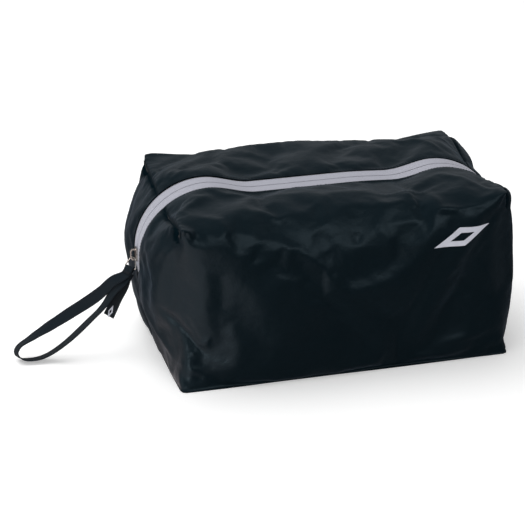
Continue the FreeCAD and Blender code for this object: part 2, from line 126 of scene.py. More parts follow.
def off_centre(y, z):
    return min(1.0, max(0.0, (abs(y) - FLAT_HALF) / (half_depth(z) - FLAT_HALF)))


def top_height(x, y):
    """Height of the top before its long edges are rolled."""
    return lerp(top_centre_z(x), HEIGHT, off_centre(y, HEIGHT) ** 1.1)


def roll_shift(x, past, roll):
    """How far the roll takes a point in and down. past is its way down the wall from the sharp edge, and less
    than zero on the top."""
    size = roll * (1 - min(1.0, abs(x) / HALF_TOP) ** 3)
    if abs(past) >= size:
        return 0.0, 0.0
    t = 0.5 * (1 + past / size)
    return size * (1 - t) ** 2 - max(0.0, -past), size * t ** 2 - max(0.0, past)


def end_point(share, rise):
    """On the left end: share 0 to 1 from the centre line to the front corner, rise 0 to 1 up the wall."""
    z = rise * top_height(HALF_TOP, share * half_depth(HEIGHT))
    y = -share * half_depth(z)
    bulge = end_centre_x(rise * SEAM_LOW) - half_length(rise * SEAM_LOW)
    return np.array((-(half_length(z) + bulge * (1 - off_centre(y, z) ** 1.8)), y, z))


def front_point(across, rise, roll):
    z = rise * HEIGHT
    swell = FRONT_BULGE * math.sin(math.pi * rise) * (1 - across ** 2)
    inward, drop = roll_shift(across * HALF_TOP, HEIGHT - z, roll)
    return np.array((across * half_length(z), -(half_depth(z) + swell - inward), z - drop))


def cloth_edge(z):
    """Distance of the cloth's edge from the zip's centre line."""
    return lerp(0.0, CLOTH_EDGE, float(smooth((z - ZIP_FOOT) / 14)))


def lengths_along(line):
    """Distance from the start of a polyline to each of its points."""
    return np.concatenate(([0.0], np.cumsum(np.linalg.norm(np.diff(line, axis=0), axis=1))))


def interpolate(marks, along, values):
    return np.stack([np.interp(marks, along, column) for column in values.T], axis=1)


def resample(points, shares):
    """Points at the given shares of the polyline's length."""
    along = lengths_along(points)
    return interpolate(shares * along[-1], along, points)


def wall_row(rise, roll):
    """One row of the front half, from the left end's centre round the front to the right end's centre."""
    size = CORNER_SHARP + CORNER_SOFT * math.sin(math.pi * rise)
    z = rise * HEIGHT
    last = 1 - size / half_depth(z)
    reach = 1 - size / half_length(z)
    first = cloth_edge(rise * SEAM_LOW) / half_depth(rise * SEAM_LOW)
    start, tip, stop = end_point(last, rise), end_point(1.0, rise), front_point(-reach, rise, roll)
    turn = [start * (1 - t) ** 2 + tip * 2 * t * (1 - t) + stop * t ** 2 for t in np.linspace(0, 1, 13)]
    end = np.array([end_point(s, rise) for s in np.linspace(first, last, 40)] + turn[1:7])
    half = np.array(turn[6:] + [front_point(a, rise, roll) for a in np.linspace(-reach, 0, 40)[1:]])
    lift = (HINGE_Y - CLOTH_EDGE) / (half_depth(HEIGHT) - CLOTH_EDGE - 1.2)
    shares = np.concatenate((np.linspace(0, lift, LIFT_COLS + 1), np.linspace(lift, 1, FOLD_COLS + 1)[1:]))
    row = np.concatenate((resample(end, shares), resample(half, np.linspace(0, 1, FRONT_COLS // 2 + 1))[1:]))
    return np.concatenate((row, row[-2::-1] * (-1, 1, 1)))


def top_grid(front_row, roll):
    """The front half of the top, indexed [column along x, row from the zip to the front edge]."""
    edge = front_row[END_COLS:END_COLS + FRONT_COLS + 1]
    side = front_row[:END_COLS + 1]
    grid = np.zeros((FRONT_COLS + 1, END_COLS + 1, 3))
    for u, (edge_x, edge_y, _) in enumerate(edge):
        rolled = roll_shift(edge_x, 0, roll)[0] - edge_y
        for v, side_x in enumerate(side[:, 0]):
            x = side_x * edge_x / edge[0, 0]
            if v <= LIFT_COLS:
                y = lerp(CLOTH_EDGE, HINGE_Y, v / LIFT_COLS)
            else:
                y = lerp(HINGE_Y, rolled, (v - LIFT_COLS) / FOLD_COLS)
            inward, drop = roll_shift(x, y - DEPTH_TOP / 2, roll)
            grid[u, v] = x, inward - y, top_height(x, y) - drop
    grid[0, :], grid[-1, :], grid[:, -1] = side, side * (-1, 1, 1), edge
    return grid


def grid_faces(rows, cols):
    """Quads of a rows x cols grid as vertex index arrays."""
    index = np.arange(rows * cols).reshape(rows, cols)
    quads = np.stack((index[:-1, :-1], index[:-1, 1:], index[1:, 1:], index[1:, :-1]), axis=-1)
    return quads.reshape(-1, 4)


def sleeve_faces(rows, cols):
    """Quads of a grid whose last column joins its first."""
    index = np.arange(rows * cols).reshape(rows, cols)
    beside = np.roll(index, -1, axis=1)
    return np.stack((index[:-1], beside[:-1], beside[1:], index[1:]), axis=-1).reshape(-1, 4)


def measure(grid):
    """Lengths along both directions of a grid, in millimetres, as flat texture coordinates."""
    down = np.linalg.norm(np.diff(grid, axis=0), axis=2)
    across = np.linalg.norm(np.diff(grid, axis=1), axis=2)
    v = np.pad(np.cumsum(down, axis=0), ((1, 0), (0, 0)))
    u = np.pad(np.cumsum(across, axis=1), ((0, 0), (1, 0)))
    return np.stack((u - u[:, -1:] / 2, v), axis=-1)


def weld(patches):
    """Joins (grid, region name, flipped) patches: points, quads, a region per quad, flat coordinates."""
    points, faces, regions, flat = {}, [], [], []
    for grid, name, flip in patches:
        ids = np.array([points.setdefault(tuple(np.round(p * 20).astype(int)), (len(points), p))[0]
                        for p in grid.reshape(-1, 3)])
        quads = grid_faces(*grid.shape[:2])[:, ::-1 if flip else 1]
        faces.append(ids[quads])
        flat.append(measure(grid).reshape(-1, 2)[quads])
        regions.append(np.full(len(quads), REGIONS.index(name)))
    found = np.array([p for _, p in points.values()])
    return found, np.concatenate(faces), np.concatenate(regions), np.concatenate(flat)


def build_shell():
    """The whole outer surface as sewn, before it is shaped: the same parts as weld()."""
    rises = [max(i, 0.08) / ROWS for i in range(ROWS + 1)]
    foot = wall_row(rises[0], FRONT_ROLL)
    left, front = foot[:END_COLS + 1], foot[END_COLS:END_COLS + FRONT_COLS + 1]
    side = np.concatenate((left[::-1], left[1:] * (1, -1, 1)))
    base = side * (front / front[0])[:, None]
    base[..., 2] = side[:, 2]
    base[:, 0], base[:, -1] = front, front * (1, -1, 1)
    half = FRONT_COLS // 2
    patches = []
    for name, sign, roll in (("front", 1, FRONT_ROLL), ("back", -1, BACK_ROLL)):
        mirror = np.array((1, sign, 1))
        wall = np.array([wall_row(rise, roll) for rise in rises]) * mirror
        top = top_grid(wall[-1] * mirror, roll) * mirror
        for grid, end in ((wall, ""), (top[:, LIFT_COLS:], ""), (top[:half + 1, :LIFT_COLS + 1], "_left"),
                          (top[half:, :LIFT_COLS + 1], "_right")):
            patches.append((grid, name + end, sign < 0))
    return weld(patches + [(base, "base", True)])


# --- Mesh helpers ---

def new_mesh(name, points, faces, regions=None, flat=None):
    mesh = bpy.data.meshes.new(name)
    mesh.from_pydata((np.asarray(points) * MM).tolist(), [], [list(map(int, f)) for f in faces])
    if flat is not None:
        layer = mesh.uv_layers.new(name="flat")
        layer.data.foreach_set("uv", np.asarray(flat, np.float32).reshape(-1))
    if regions is not None:
        mark = mesh.attributes.new("region", "INT", "FACE")
        mark.data.foreach_set("value", np.asarray(regions, np.int32))
    mesh.polygons.foreach_set("use_smooth", np.ones(len(mesh.polygons), bool))
    mesh.update()
    return mesh


def new_object(name, data, *materials):
    obj = bpy.data.objects.new(name, data)
    bpy.context.scene.collection.objects.link(obj)
    for material in materials:
        data.materials.append(material)
    return obj


def shown_mesh(obj):
    """The object's mesh with its modifiers applied."""
    return obj.evaluated_get(bpy.context.evaluated_depsgraph_get()).to_mesh()


def read_values(items, name, width, kind):
    values = np.zeros(len(items) * width, kind)
    items.foreach_get(name, values)
    return values.reshape(-1, width)


def mesh_points(mesh):
    return read_values(mesh.vertices, "co", 3, np.float32).astype(float) / MM


def mesh_faces(mesh):
    return read_values(mesh.loops, "vertex_index", 1, np.int32).reshape(-1, 4)


def point_normals(points, faces):
    """Area-weighted normals at the points of a quad mesh."""
    a, b, c, d = (points[faces[:, k]] for k in range(4))
    across = np.cross(c - a, d - b)
    found = np.zeros_like(points)
    for k in range(4):
        np.add.at(found, faces[:, k], across)
    return unit(found)


def quad_edges(faces):
    return np.concatenate([faces[:, [k, (k + 1) % 4]] for k in range(4)])


def open_rim(faces, test):
    """Edges of one face only whose points pass the test: the point ids, and the edges in their order."""
    edges = quad_edges(faces)
    _, where, uses = np.unique(np.sort(edges, axis=1), axis=0, return_index=True, return_counts=True)
    rim = edges[where[uses == 1]]
    used, local = np.unique(rim[test[rim].all(axis=1)], return_inverse=True)
    return used, local.reshape(-1, 2)


def skirt(rim, rings, outs):
    """Quads between rings of points, the first of which is an open rim."""
    count = len(rings[0])
    first = np.concatenate((rim[:, ::-1], rim + count), axis=1)
    quads = np.concatenate([first + k * count for k in range(len(rings) - 1)])
    return np.concatenate(rings), quads, np.concatenate(outs)


def relax(points, faces, weight, rounds):
    """Moves each point towards its neighbours' middle, by its own weight."""
    edges = np.unique(np.sort(quad_edges(faces), axis=1), axis=0)
    valence = np.bincount(edges.ravel(), minlength=len(points))[:, None]
    for _ in range(rounds):
        total = np.zeros_like(points)
        np.add.at(total, edges[:, 0], points[edges[:, 1]])
        np.add.at(total, edges[:, 1], points[edges[:, 0]])
        points = points + (total / valence - points) * (0.5 * weight[:, None])
    return points


# --- Folds: ridges and valleys laid along lines on the shell ---
# Each is (height, width, fade at its start, fade at its end, places). A place on the top or a long wall is
# (x, distance from the zip, counted on over the long edge and down the wall), negative on the front's side.
# A place on an end is (x, y, z).

WALL_START = 95                         # distances past this one are down the wall

FOLDS = [
    # front top edge near the slider: a fold over the rolled edge, and the valley beside it
    (3.2, 6, 0.1, 0.5, (-158, -58), (-134, -38), (-108, -28)),
    (-4.5, 7, 0.4, 0.4, (-150, -78), (-146, -90), (-147, -104), (-150, -116)),
    (2.4, 7, 0.4, 0.5, (-128, -70), (-120, -88), (-118, -106), (-121, -123)),
    (2, 3.5, 0.05, 0.7, (-161, -99), (-155, -108), (-146, -120)),
    (-2.2, 6, 0.1, 0.6, (-178, -84, 162), (-178, -70, 143), (-178, -62, 123)),
    # upright band near the left corner
    (2.6, 13, 0.35, 0.4, (-150, -112), (-147, -151), (-146, -194), (-138, -217)),
    (-2.6, 13, 0.4, 0.4, (-126, -123), (-128, -159), (-131, -198)),
    (-2.4, 5, 0.3, 0.4, (-178, -57, 82), (-168, -86, 62), (-157, -219), (-143, -227), (-132, -213)),
    (1.6, 5, 0.4, 0.5, (-166, -92, 74), (-158, -207), (-146, -213)),
    # ripples round the lower left corner
    (1.8, 5, 0.4, 0.5, (-170, -84, 30), (-162, -241), (-146, -253), (-126, -258)),
    (-1.4, 4, 0.4, 0.5, (-170, -92, 16), (-163, -254), (-150, -261)),
    # top, back left
    (2.6, 7, 0.15, 0.4, (-172, 14), (-130, 60), (-84, 90)),
    (-2, 6, 0.2, 0.4, (-160, 50), (-119, 86)),
    (-1.6, 8, 0.3, 0.4, (-150, 26), (-108, 58), (-70, 78)),
    # crest along the front of the top
    (2.4, 12, 0.3, 0.3, (-96, -34), (-60, -42), (-10, -52), (36, -50), (80, -50)),
    (1.6, 8, 0.4, 0.2, (-40, -76), (10, -74), (62, -78), (82, -92)),
    (-2.6, 6, 0.3, 0.4, (66, -80), (78, -92), (76, -104), (68, -112)),
    (2.8, 6, 0.3, 0.4, (88, -60), (92, -84), (96, -100), (124, -107)),
    (2.2, 7, 0.4, 0.1, (100, -30), (130, -52), (158, -88)),
    (-1.8, 6, 0.3, 0.2, (150, -26), (146, -60), (156, -86)),
    # top, back right
    (2.2, 8, 0.2, 0.4, (160, 24), (120, 60), (70, 84)),
    (-1.8, 6, 0.2, 0.4, (158, 70), (112, 88)),
    (1.4, 12, 0.4, 0.4, (-20, 20), (10, 60), (60, 88)),
    (2.5, 9, 0.3, 0.3, (-125, 92), (0, 92), (125, 92)),
    # dents in the front below the rolled edge
    (-1.6, 6.5, 0.4, 0.4, (-106, -98), (-108, -116), (-104, -131)),
    (-1, 6, 0.4, 0.4, (-92, -114), (-88, -137)),
    (1.6, 7, 0.4, 0.4, (-74, -104), (-60, -125), (-62, -147)),
    (-1.6, 8, 0.4, 0.4, (-30, -106), (-22, -129)),
    (-1.1, 6.5, 0.4, 0.4, (8, -110), (9, -129)),
    (1.4, 8, 0.4, 0.4, (24, -102), (40, -125), (44, -145)),
    # diagonals under the print, and the low right corner
    (2.2, 6, 0.4, 0.2, (106, -141), (134, -165), (164, -200)),
    (-1.8, 7, 0.4, 0.3, (92, -157), (124, -183), (158, -211)),
    (1.6, 6, 0.2, 0.4, (160, -112), (150, -145), (154, -172)),
    (-2, 5, 0.4, 0.3, (132, -248), (150, -243), (169, -92, 26)),
    (1.4, 14, 0.4, 0.4, (-60, -243), (0, -254), (70, -248)),
    (-1.6, 22, 0.4, 0.4, (-20, -168), (30, -194), (90, -207)),
    # left end: tension from the top corner to the zip's foot
    (2, 8, 0.2, 0.4, (-178, -78, 154), (-178, -44, 113), (-178, -14, 80)),
    (2.2, 8, 0.2, 0.4, (-178, 80, 156), (-178, 50, 115), (-178, 20, 76)),
    (-2.2, 9, 0.3, 0.4, (-178, 84, 123), (-178, 60, 82), (-178, 40, 41)),
    (1.6, 7, 0.2, 0.4, (-178, -20, 66), (-178, -50, 41), (-178, -84, 23)),
    (-1.8, 7, 0.2, 0.4, (-178, 16, 61), (-178, 40, 35), (-178, 80, 16)),
]
SEAM_BULGE = [
    # the right end's cloth stands out just past its seam
    (5, 8, 0.2, 0.3, (166, 86, 162), (170, 62, 156), (174, 30, 151)),
    (5, 8, 0.2, 0.3, (166, -86, 162), (170, -66, 156), (174, -42, 151)),
]
CREASES = [
    (1.5, 2.6, 0.1, 0.4, (-168, 46), (-140, 66), (-108, 88)),
    (1.5, 2.6, 0.1, 0.4, (-154, 23), (-129, 50), (-106, 75)),
    (1.2, 2.6, 0.1, 0.4, (-152, 19), (-127, 33), (-96, 44)),
    (-1.2, 2.4, 0.2, 0.5, (-168, 40), (-146, 62)),
    (1.4, 2.4, 0.3, 0.1, (130, 92), (136, 70), (157, 44)),
    (1.4, 2.4, 0.3, 0.2, (99, 86), (126, 49), (137, 26)),
    (1.5, 2.6, 0.1, 0.5, (-162, -63), (-148, -39), (-130, -29)),
    (1.4, 2.8, 0.4, 0.3, (23, -55), (82, -65), (119, -53)),
    (1.5, 3, 0.4, 0.4, (49, -60), (70, -70), (78, -101), (75, -110)),
    (1.6, 2.6, 0.4, 0.2, (86, -71), (89, -102), (132, -105), (146, -100)),
    (-2.2, 2.6, 0.05, 0.7, (-163, -100), (-152, -109), (-143, -117)),
    (-1.4, 2.6, 0.1, 0.6, (-178, -88, 161), (-178, -76, 145), (-178, -68, 132)),
    (0.8, 3, 0.1, 0.6, (-178, -12, 154), (-178, -24, 144), (-178, -34, 130)),
    (-1.1, 3, 0.3, 0.5, (-118, -101), (-108, -117)),
    (-2, 2.6, 0.4, 0.3, (-172, -94, 79), (-164, -207), (-156, -222), (-148, -224)),
    (1.8, 3.2, 0.2, 0.4, (-160, -224), (-146, -221), (-138, -208)),
    (-0.8, 3, 0.4, 0.4, (-91, -123), (-95, -139)),
    (-0.7, 3, 0.4, 0.4, (-76, -136), (-66, -156)),
    (-0.8, 3, 0.4, 0.4, (11, -115), (8, -132)),
    (1.4, 4, 0.4, 0.4, (84, -246), (126, -240), (158, -233)),
    (1.2, 3.6, 0.2, 0.4, (153, -115), (144, -141), (125, -162)),
    (1, 4, 0.4, 0.4, (113, -158), (93, -177)),
    (0.8, 3.4, 0.3, 0.4, (-160, -236), (-138, -248), (-118, -252)),
    (-1.1, 3, 0.3, 0.4, (-160, -246), (-144, -256)),
    (1.2, 3.4, 0.2, 0.4, (-178, 70, 150), (-178, 50, 122), (-178, 30, 98)),
]


def spot(place):
    """The point in space that a place in the fold tables means."""
    if len(place) == 3:
        return place
    x, across = place
    if abs(across) <= WALL_START:
        return x, across, top_height(x, across)
    z = WALL_START + HEIGHT - abs(across)
    return x, math.copysign(half_depth(z) + FRONT_BULGE * math.sin(math.pi * z / HEIGHT), across), z


def far_side(folds):
    """The walls' folds turned half round, a little lower, for the walls that face the other way."""
    walls = [f for f in folds if all(len(p) == 3 or abs(p[1]) > WALL_START for p in f[4:])]
    return [(0.8 * f[0], *f[1:4], *[(-p[0], -p[1], *p[2:]) for p in f[4:]]) for f in walls]


def fold(points, normals, tree, height, width, fade_in, fade_out, *places):
    """Raises or sinks the surface along a line by a soft ridge that fades at the line's ends."""
    line = resample(np.array([spot(p) for p in places], float), np.linspace(0, 1, 25))
    line = np.array([tree.find_nearest(Vector(p))[0] for p in line])
    near = np.linalg.norm(points[:, None, :] - line[None, :, :], axis=2)
    share = near.argmin(axis=1) / (len(line) - 1)
    fade = smooth(share / fade_in) * smooth((1 - share) / fade_out)
    distance = near.min(axis=1) / width
    return normals * (height * fade / (1 + distance ** 2) * np.exp(-(distance / 2.4) ** 2))[:, None]


def lay_folds(points, faces, folds):
    """How far each point moves for all the folds together."""
    tree = BVHTree.FromPolygons(points.tolist(), faces.tolist())
    normals = point_normals(points, faces)
    return sum(fold(points, normals, tree, *f) for f in folds)


def lean(points):
    """The filled bag's slight twist: two opposite top corners are higher, and the zip's far bend is lower."""
    x, y, z = np.asarray(points, float).T
    up = np.clip(z / HEIGHT, 0, 1) ** 2
    twist = -TWIST * (x / HALF_TOP) * (y / (DEPTH_TOP / 2))
    far = -FAR_DROP * smooth((x - 20) / 90) * smooth((60 - np.abs(y)) / 50)
    return points + np.stack((np.zeros_like(x), np.zeros_like(x), (twist + far) * up), axis=1)


def zip_distance(points):
    """Distance from the cloth's folded edges along the zip, and from the end seams below it."""
    across = np.abs(np.abs(points[:, 1]) - CLOTH_EDGE)
    low = points[:, 2] < ZIP_FOOT + 12
    return np.where(low, np.minimum(across, np.abs(points[:, 1])), across)


def swells(points, normals):
    """Slow unevenness of loose cloth: sums of skewed sine waves, the same each run."""
    waves = (
        # (turn per millimetre in x, y and z, phase, height)
        (0.041, 0.017, 0.033, 0.4, 0.9), (-0.026, 0.049, 0.038, 1.9, 0.8), (0.071, -0.032, -0.058, 3.1, 0.45),
        (0.058, 0.088, 0.041, 5.2, 0.35), (-0.102, 0.055, 0.091, 2.3, 0.22), (0.137, 0.12, -0.085, 0.8, 0.16),
    )
    height = np.zeros(len(points))
    for a, b, c, phase, size in waves:
        bend = 0.8 * np.sin(points @ (0.021, -0.017, 0.025) + phase)
        height += size * np.sin(points @ (a, b, c) + phase + bend)
    return normals * height[:, None]


def shape_shell(points, faces):
    """Rounds the long edges and the upright corners, pushes the left front corner in, then lays the folds."""
    x, y, z = points.T
    far_x, far_y = np.abs(x), np.abs(y)
    rise = np.clip(z / HEIGHT, 0, 1)
    roll = np.where(y < 0, FRONT_SOFTEN, BACK_SOFTEN) * smooth(1.4 * np.maximum(0, far_y - 40) / 56)
    roll *= smooth((z - 118) / 40) * smooth((HALF_TOP - far_x - 6) / 60)
    upright = 0.7 * smooth((far_x - 125) / 30) * smooth((far_y - 60) / 30) * np.sin(np.pi * rise) ** 0.7
    hold = smooth((zip_distance(points) - 3) / 25) * smooth((z - 2) / 16)
    points = relax(points, faces, np.clip(roll + upright * (1 - roll), 0, 1) * hold, SOFTEN_ROUNDS)
    x, y, z = points.T
    turned = np.clip((-x - 88) / 80, 0, 1) ** 2 * smooth((-y - 45) / 50)
    points[:, 1] += CORNER_PUSH * turned * np.sin(np.pi * np.clip(z / HEIGHT, 0, 1)) ** 0.6
    moved = swells(points, point_normals(points, faces))
    moved += lay_folds(points, faces, FOLDS + far_side(FOLDS) + SEAM_BULGE)
    free = smooth((zip_distance(points) - 1.5) / 16) * smooth((z - 1) / 12)
    return points + moved * free[:, None]


SIM_FRAMES = 24
SIM_CAP = 6.0                           # the furthest that the simulation may move a point


def simulate(points, faces, held):
    """Lets the shaped cloth settle with a little extra length and a light inner pressure."""
    obj = new_object("settling_cloth", new_mesh("settling_cloth", points, faces))
    obj.vertex_groups.new(name="held").add(np.flatnonzero(held).tolist(), 1.0, "REPLACE")
    cloth = obj.modifiers.new("Cloth", "CLOTH")
    settings = cloth.settings
    settings.quality = 6
    settings.mass = 0.08
    settings.tension_stiffness = settings.compression_stiffness = 25
    settings.shear_stiffness = 10
    settings.bending_stiffness = 0.35
    settings.tension_damping = settings.compression_damping = settings.shear_damping = 12
    settings.air_damping = 2.5
    settings.shrink_min = -0.022
    settings.vertex_group_mass = "held"
    settings.use_pressure = True
    settings.uniform_pressure_force = 0.35
    settings.effector_weights.gravity = 0
    cloth.collision_settings.use_collision = False
    cloth.collision_settings.use_self_collision = False
    scene = bpy.context.scene
    for clock in (scene, cloth.point_cache):
        clock.frame_start, clock.frame_end = 1, SIM_FRAMES
    for step in range(1, SIM_FRAMES + 1):
        scene.frame_set(step)
    settled = mesh_points(shown_mesh(obj))
    bpy.data.objects.remove(obj)
    scene.frame_set(1)
    return settled


def settle(points, faces):
    """Runs the simulation with the sewn edges held, and keeps each point within SIM_CAP of its start."""
    x, y, z = points.T
    held = (np.abs(np.abs(x) - HALF_TOP) < 0.6) & (z > SEAM_LOW - 1) & (np.abs(y) > CLOTH_EDGE - 0.1)
    held |= (z < 1.5) | ((np.abs(y) < 0.1) & (z < ZIP_FOOT + 3))
    held[open_rim(faces, np.ones(len(points), bool))[0]] = True
    move = simulate(points, faces, held) - points
    size = np.linalg.norm(move, axis=1, keepdims=True)
    return points + move * (SIM_CAP * np.tanh(size / SIM_CAP) / np.maximum(size, 1e-9))


def refine(points, faces, regions, flat):
    """One subdivision of the settled shell."""
    obj = new_object("shell_to_refine", new_mesh("shell_to_refine", points, faces, regions, flat))
    divide = obj.modifiers.new("Subdivision", "SUBSURF")
    divide.levels = divide.render_levels = 1
    divide.boundary_smooth = "ALL"
    mesh = shown_mesh(obj)
    area = read_values(mesh.attributes["region"].data, "value", 1, np.int32)
    uv = read_values(mesh.uv_layers["flat"].data, "uv", 2, np.float32)
    fine = mesh_points(mesh), mesh_faces(mesh), area[:, 0], uv.reshape(-1, 4, 2)
    bpy.data.objects.remove(obj)
    return fine


def seam_distance(points):
    """Distance of each point of the fine shell from the nearest sewn seam."""
    x, y, z = np.abs(points.T)
    top_seam = np.where(z > SEAM_LOW - 8, np.abs(x - HALF_TOP), 99.0)
    middle = np.where((z < ZIP_FOOT + 2) & (x > 100), y, 99.0)
    return np.minimum(top_seam, middle)


# What the sewing does to the cloth: a groove along the seams, gathers beside them and along the zip, and a
# pinch at the foot.
GROOVE, GATHER, ZIP_GATHER, FOOT_PINCH = -2.0, 0.28, 0.16, -0.8


def pucker(points, faces):
    """Sews the seams in: a narrow groove with small gathers beside it, gathers along the zip, and creases."""
    x, y, z = points.T
    seam, beside = seam_distance(points), zip_distance(points)
    along = np.where(np.abs(x) > 150, y, x)
    path = np.where(np.abs(x) > 150, z, x)
    groove = GROOVE * np.exp(-(seam / 1.8) ** 2) * (0.2 + 0.8 * smooth((beside - 1) / 9))
    gathers = GATHER * np.sin(along * 0.9 + 1.4 * np.sin(along * 0.11))
    gathers *= np.exp(-(seam / 7) ** 2) * (1 - np.exp(-(seam / 2.5) ** 2))
    zip_gathers = ZIP_GATHER * np.sin(path * 0.5 + 1.7 * np.sin(path * 0.07)) * np.exp(-(beside / 6) ** 2)
    zip_gathers *= smooth(beside / 4)
    foot = FOOT_PINCH * np.exp(-((z - 1.5) / 2.0) ** 2) * (z > 0.9)
    free = smooth((beside - 1.0) / 8) * smooth((z - 1) / 8) * smooth((seam - 0.5) / 4)
    sewn = point_normals(points, faces) * (groove + gathers + zip_gathers + foot)[:, None]
    return points + sewn + lay_folds(points, faces, CREASES + far_side(CREASES)) * free[:, None]


# --- Materials ---

def plug(tree, socket, value):
    if isinstance(value, bpy.types.NodeSocket):
        tree.links.new(value, socket)
    else:
        socket.default_value = (*value, 1) if socket.type == "RGBA" else value


def feed(tree, node, *first, **values):
    """Links or sets a node's first inputs in order, others by name in small letters with _ for each space."""
    for socket, value in zip(node.inputs, first):
        plug(tree, socket, value)
    for socket in node.inputs:
        name = socket.name.lower().replace(" ", "_")
        if name in values:
            plug(tree, socket, values.pop(name))
    for name, value in values.items():
        setattr(node, name, value)
    return node


def node_material(name, roughness, metallic=0.0, specular=0.5):
    material = bpy.data.materials.new(name)
    material.use_nodes = True
    tree = material.node_tree
    shader = tree.nodes["Principled BSDF"]
    feed(tree, shader, roughness=roughness, metallic=metallic, specular_ior_level=specular)
    return material, tree, shader


def add_node(tree, kind, *first, **values):
    return feed(tree, tree.nodes.new("ShaderNode" + kind), *first, **values)


def mix_colours(tree, factor, first, second):
    return add_node(tree, "MixRGB", factor, first, second).outputs["Color"]


def noise(tree, vector, scale, detail=3.0, roughness=0.5):
    node = add_node(tree, "TexNoise", vector=vector, scale=scale, detail=detail, roughness=roughness)
    return node.outputs["Fac"]


def map_range(tree, value, start, stop, low, high, kind="LINEAR"):
    node = add_node(tree, "MapRange", value, start, stop, low, high, interpolation_type=kind)
    return node.outputs["Result"]


def math_node(tree, operation, first, second):
    return add_node(tree, "Math", first, second, operation=operation).outputs["Value"]


def waves(tree, vector, direction, scale):
    return add_node(tree, "TexWave", vector=vector, scale=scale, bands_direction=direction).outputs["Fac"]


def bump(tree, shader, height, strength, distance, before=None):
    """Roughens the shader's surface, on top of the bump before."""
    node = add_node(tree, "Bump", height=height, strength=strength, distance=distance)
    if before:
        tree.links.new(before.outputs["Normal"], node.inputs["Normal"])
    tree.links.new(node.outputs["Normal"], shader.inputs["Normal"])
    return node


def place(tree, flat=False):
    """Where a point is: along the cloth's own threads, or in the room."""
    source = add_node(tree, "UVMap", uv_map="flat") if flat else add_node(tree, "TexCoord")
    return source.outputs["UV" if flat else "Object"]


def weave(tree, vector, pitch):
    """Height of a plain weave: warp and weft crossing at right angles, pitch in the vector's units."""
    turns = 1.0 / (pitch * 3.18)
    return math_node(tree, "MULTIPLY", waves(tree, vector, "X", turns), waves(tree, vector, "Y", turns))


NYLON_DARK, NYLON_LIGHT, NYLON_SPECULAR = (0.0014, 0.0052, 0.0078), (0.0026, 0.0076, 0.0110), 0.22


def nylon_material():
    """Shiny cloth, with painted shade along its seams, where its gloss and sheen are taken away."""
    material, tree, shader = node_material("nylon_cloth", 0.44)
    flat, room = place(tree, True), place(tree)
    # painted shade: along the seams the cloth loses its gloss and sheen, so that the seam grooves read dark
    seam = add_node(tree, "Attribute", attribute_name="seam_shade").outputs["Fac"]
    feed(tree, shader,
         base_color=mix_colours(tree, noise(tree, room, 14.0, 4.0), NYLON_DARK, NYLON_LIGHT),
         specular_ior_level=map_range(tree, seam, 0, 1, NYLON_SPECULAR, 0.0),
         sheen_weight=map_range(tree, seam, 0, 1, 0.08, 0.0),
         roughness=map_range(tree, noise(tree, room, 45.0), 0, 1, 0.28, 0.42),
         specular_tint=(0.66, 0.87, 1.0), sheen_roughness=0.45, sheen_tint=(0.55, 0.75, 1.0))
    first = bump(tree, shader, noise(tree, room, 60.0, 4.0, 0.55), 0.22, 0.004)
    bump(tree, shader, weave(tree, flat, 0.5), 0.10, 0.0002, first)
    return material


def two_tone(name, pattern, dark, light, roughness, bumps=(), sheen=0.0, **values):
    """A material coloured by a pattern, dark to light, with bumps (pattern, strength, distance) over it."""
    material, tree, shader = node_material(name, roughness, **values)
    height = pattern(tree)
    feed(tree, shader, base_color=mix_colours(tree, height, dark, light), sheen_weight=sheen)
    before = None
    for lay, strength, distance in bumps:
        before = bump(tree, shader, height if lay is pattern else lay(tree), strength, distance, before)
    return material


def cloudy(scale, detail=3.0, roughness=0.5):
    return lambda tree: noise(tree, place(tree), scale, detail, roughness)


def twill(tree):
    slanted = add_node(tree, "Mapping", vector=place(tree, True), rotation=(0, 0, math.radians(52)))
    return waves(tree, slanted.outputs["Vector"], "X", 0.36)


def ribs(pitch):
    """Height of webbing: strong ribs across it and weaker lines along it."""
    def height(tree):
        parts = []
        for way, turn, share in (("X", 3.18, 0.7), ("Y", 2.1, 0.3)):
            lines = waves(tree, place(tree, True), way, 1.0 / (pitch * turn))
            parts.append(math_node(tree, "MULTIPLY", lines, share))
        return math_node(tree, "ADD", *parts)
    return height


def webbing_material(name, dark, light, pitch):
    height = ribs(pitch)
    return two_tone(name, height, dark, light, 0.6, [(height, 0.35, 0.0005), (cloudy(300.0), 0.15, 0.0006)],
                    sheen=0.05, specular=0.18)


def metal_material():
    worn = cloudy(220.0, 5.0, 0.6)
    material = two_tone("polished_nickel", worn, (0.50, 0.48, 0.44), (0.74, 0.72, 0.68), 0.2,
                        [(cloudy(800.0), 0.08, 0.0002)], metallic=1.0)
    tree = material.node_tree
    feed(tree, tree.nodes["Principled BSDF"], roughness=map_range(tree, worn(tree), 0, 1, 0.14, 0.34))
    return material


CARD_EDGE, CARD_END = (-0.12, -0.20), (-0.13, 0.03)      # the reflected card's soft edges in x and in y
CARD_LIGHT, CARD_FAR, CARD_COLOUR = (0.05, 1.3), 0.09, (1.0, 0.84, 0.82)


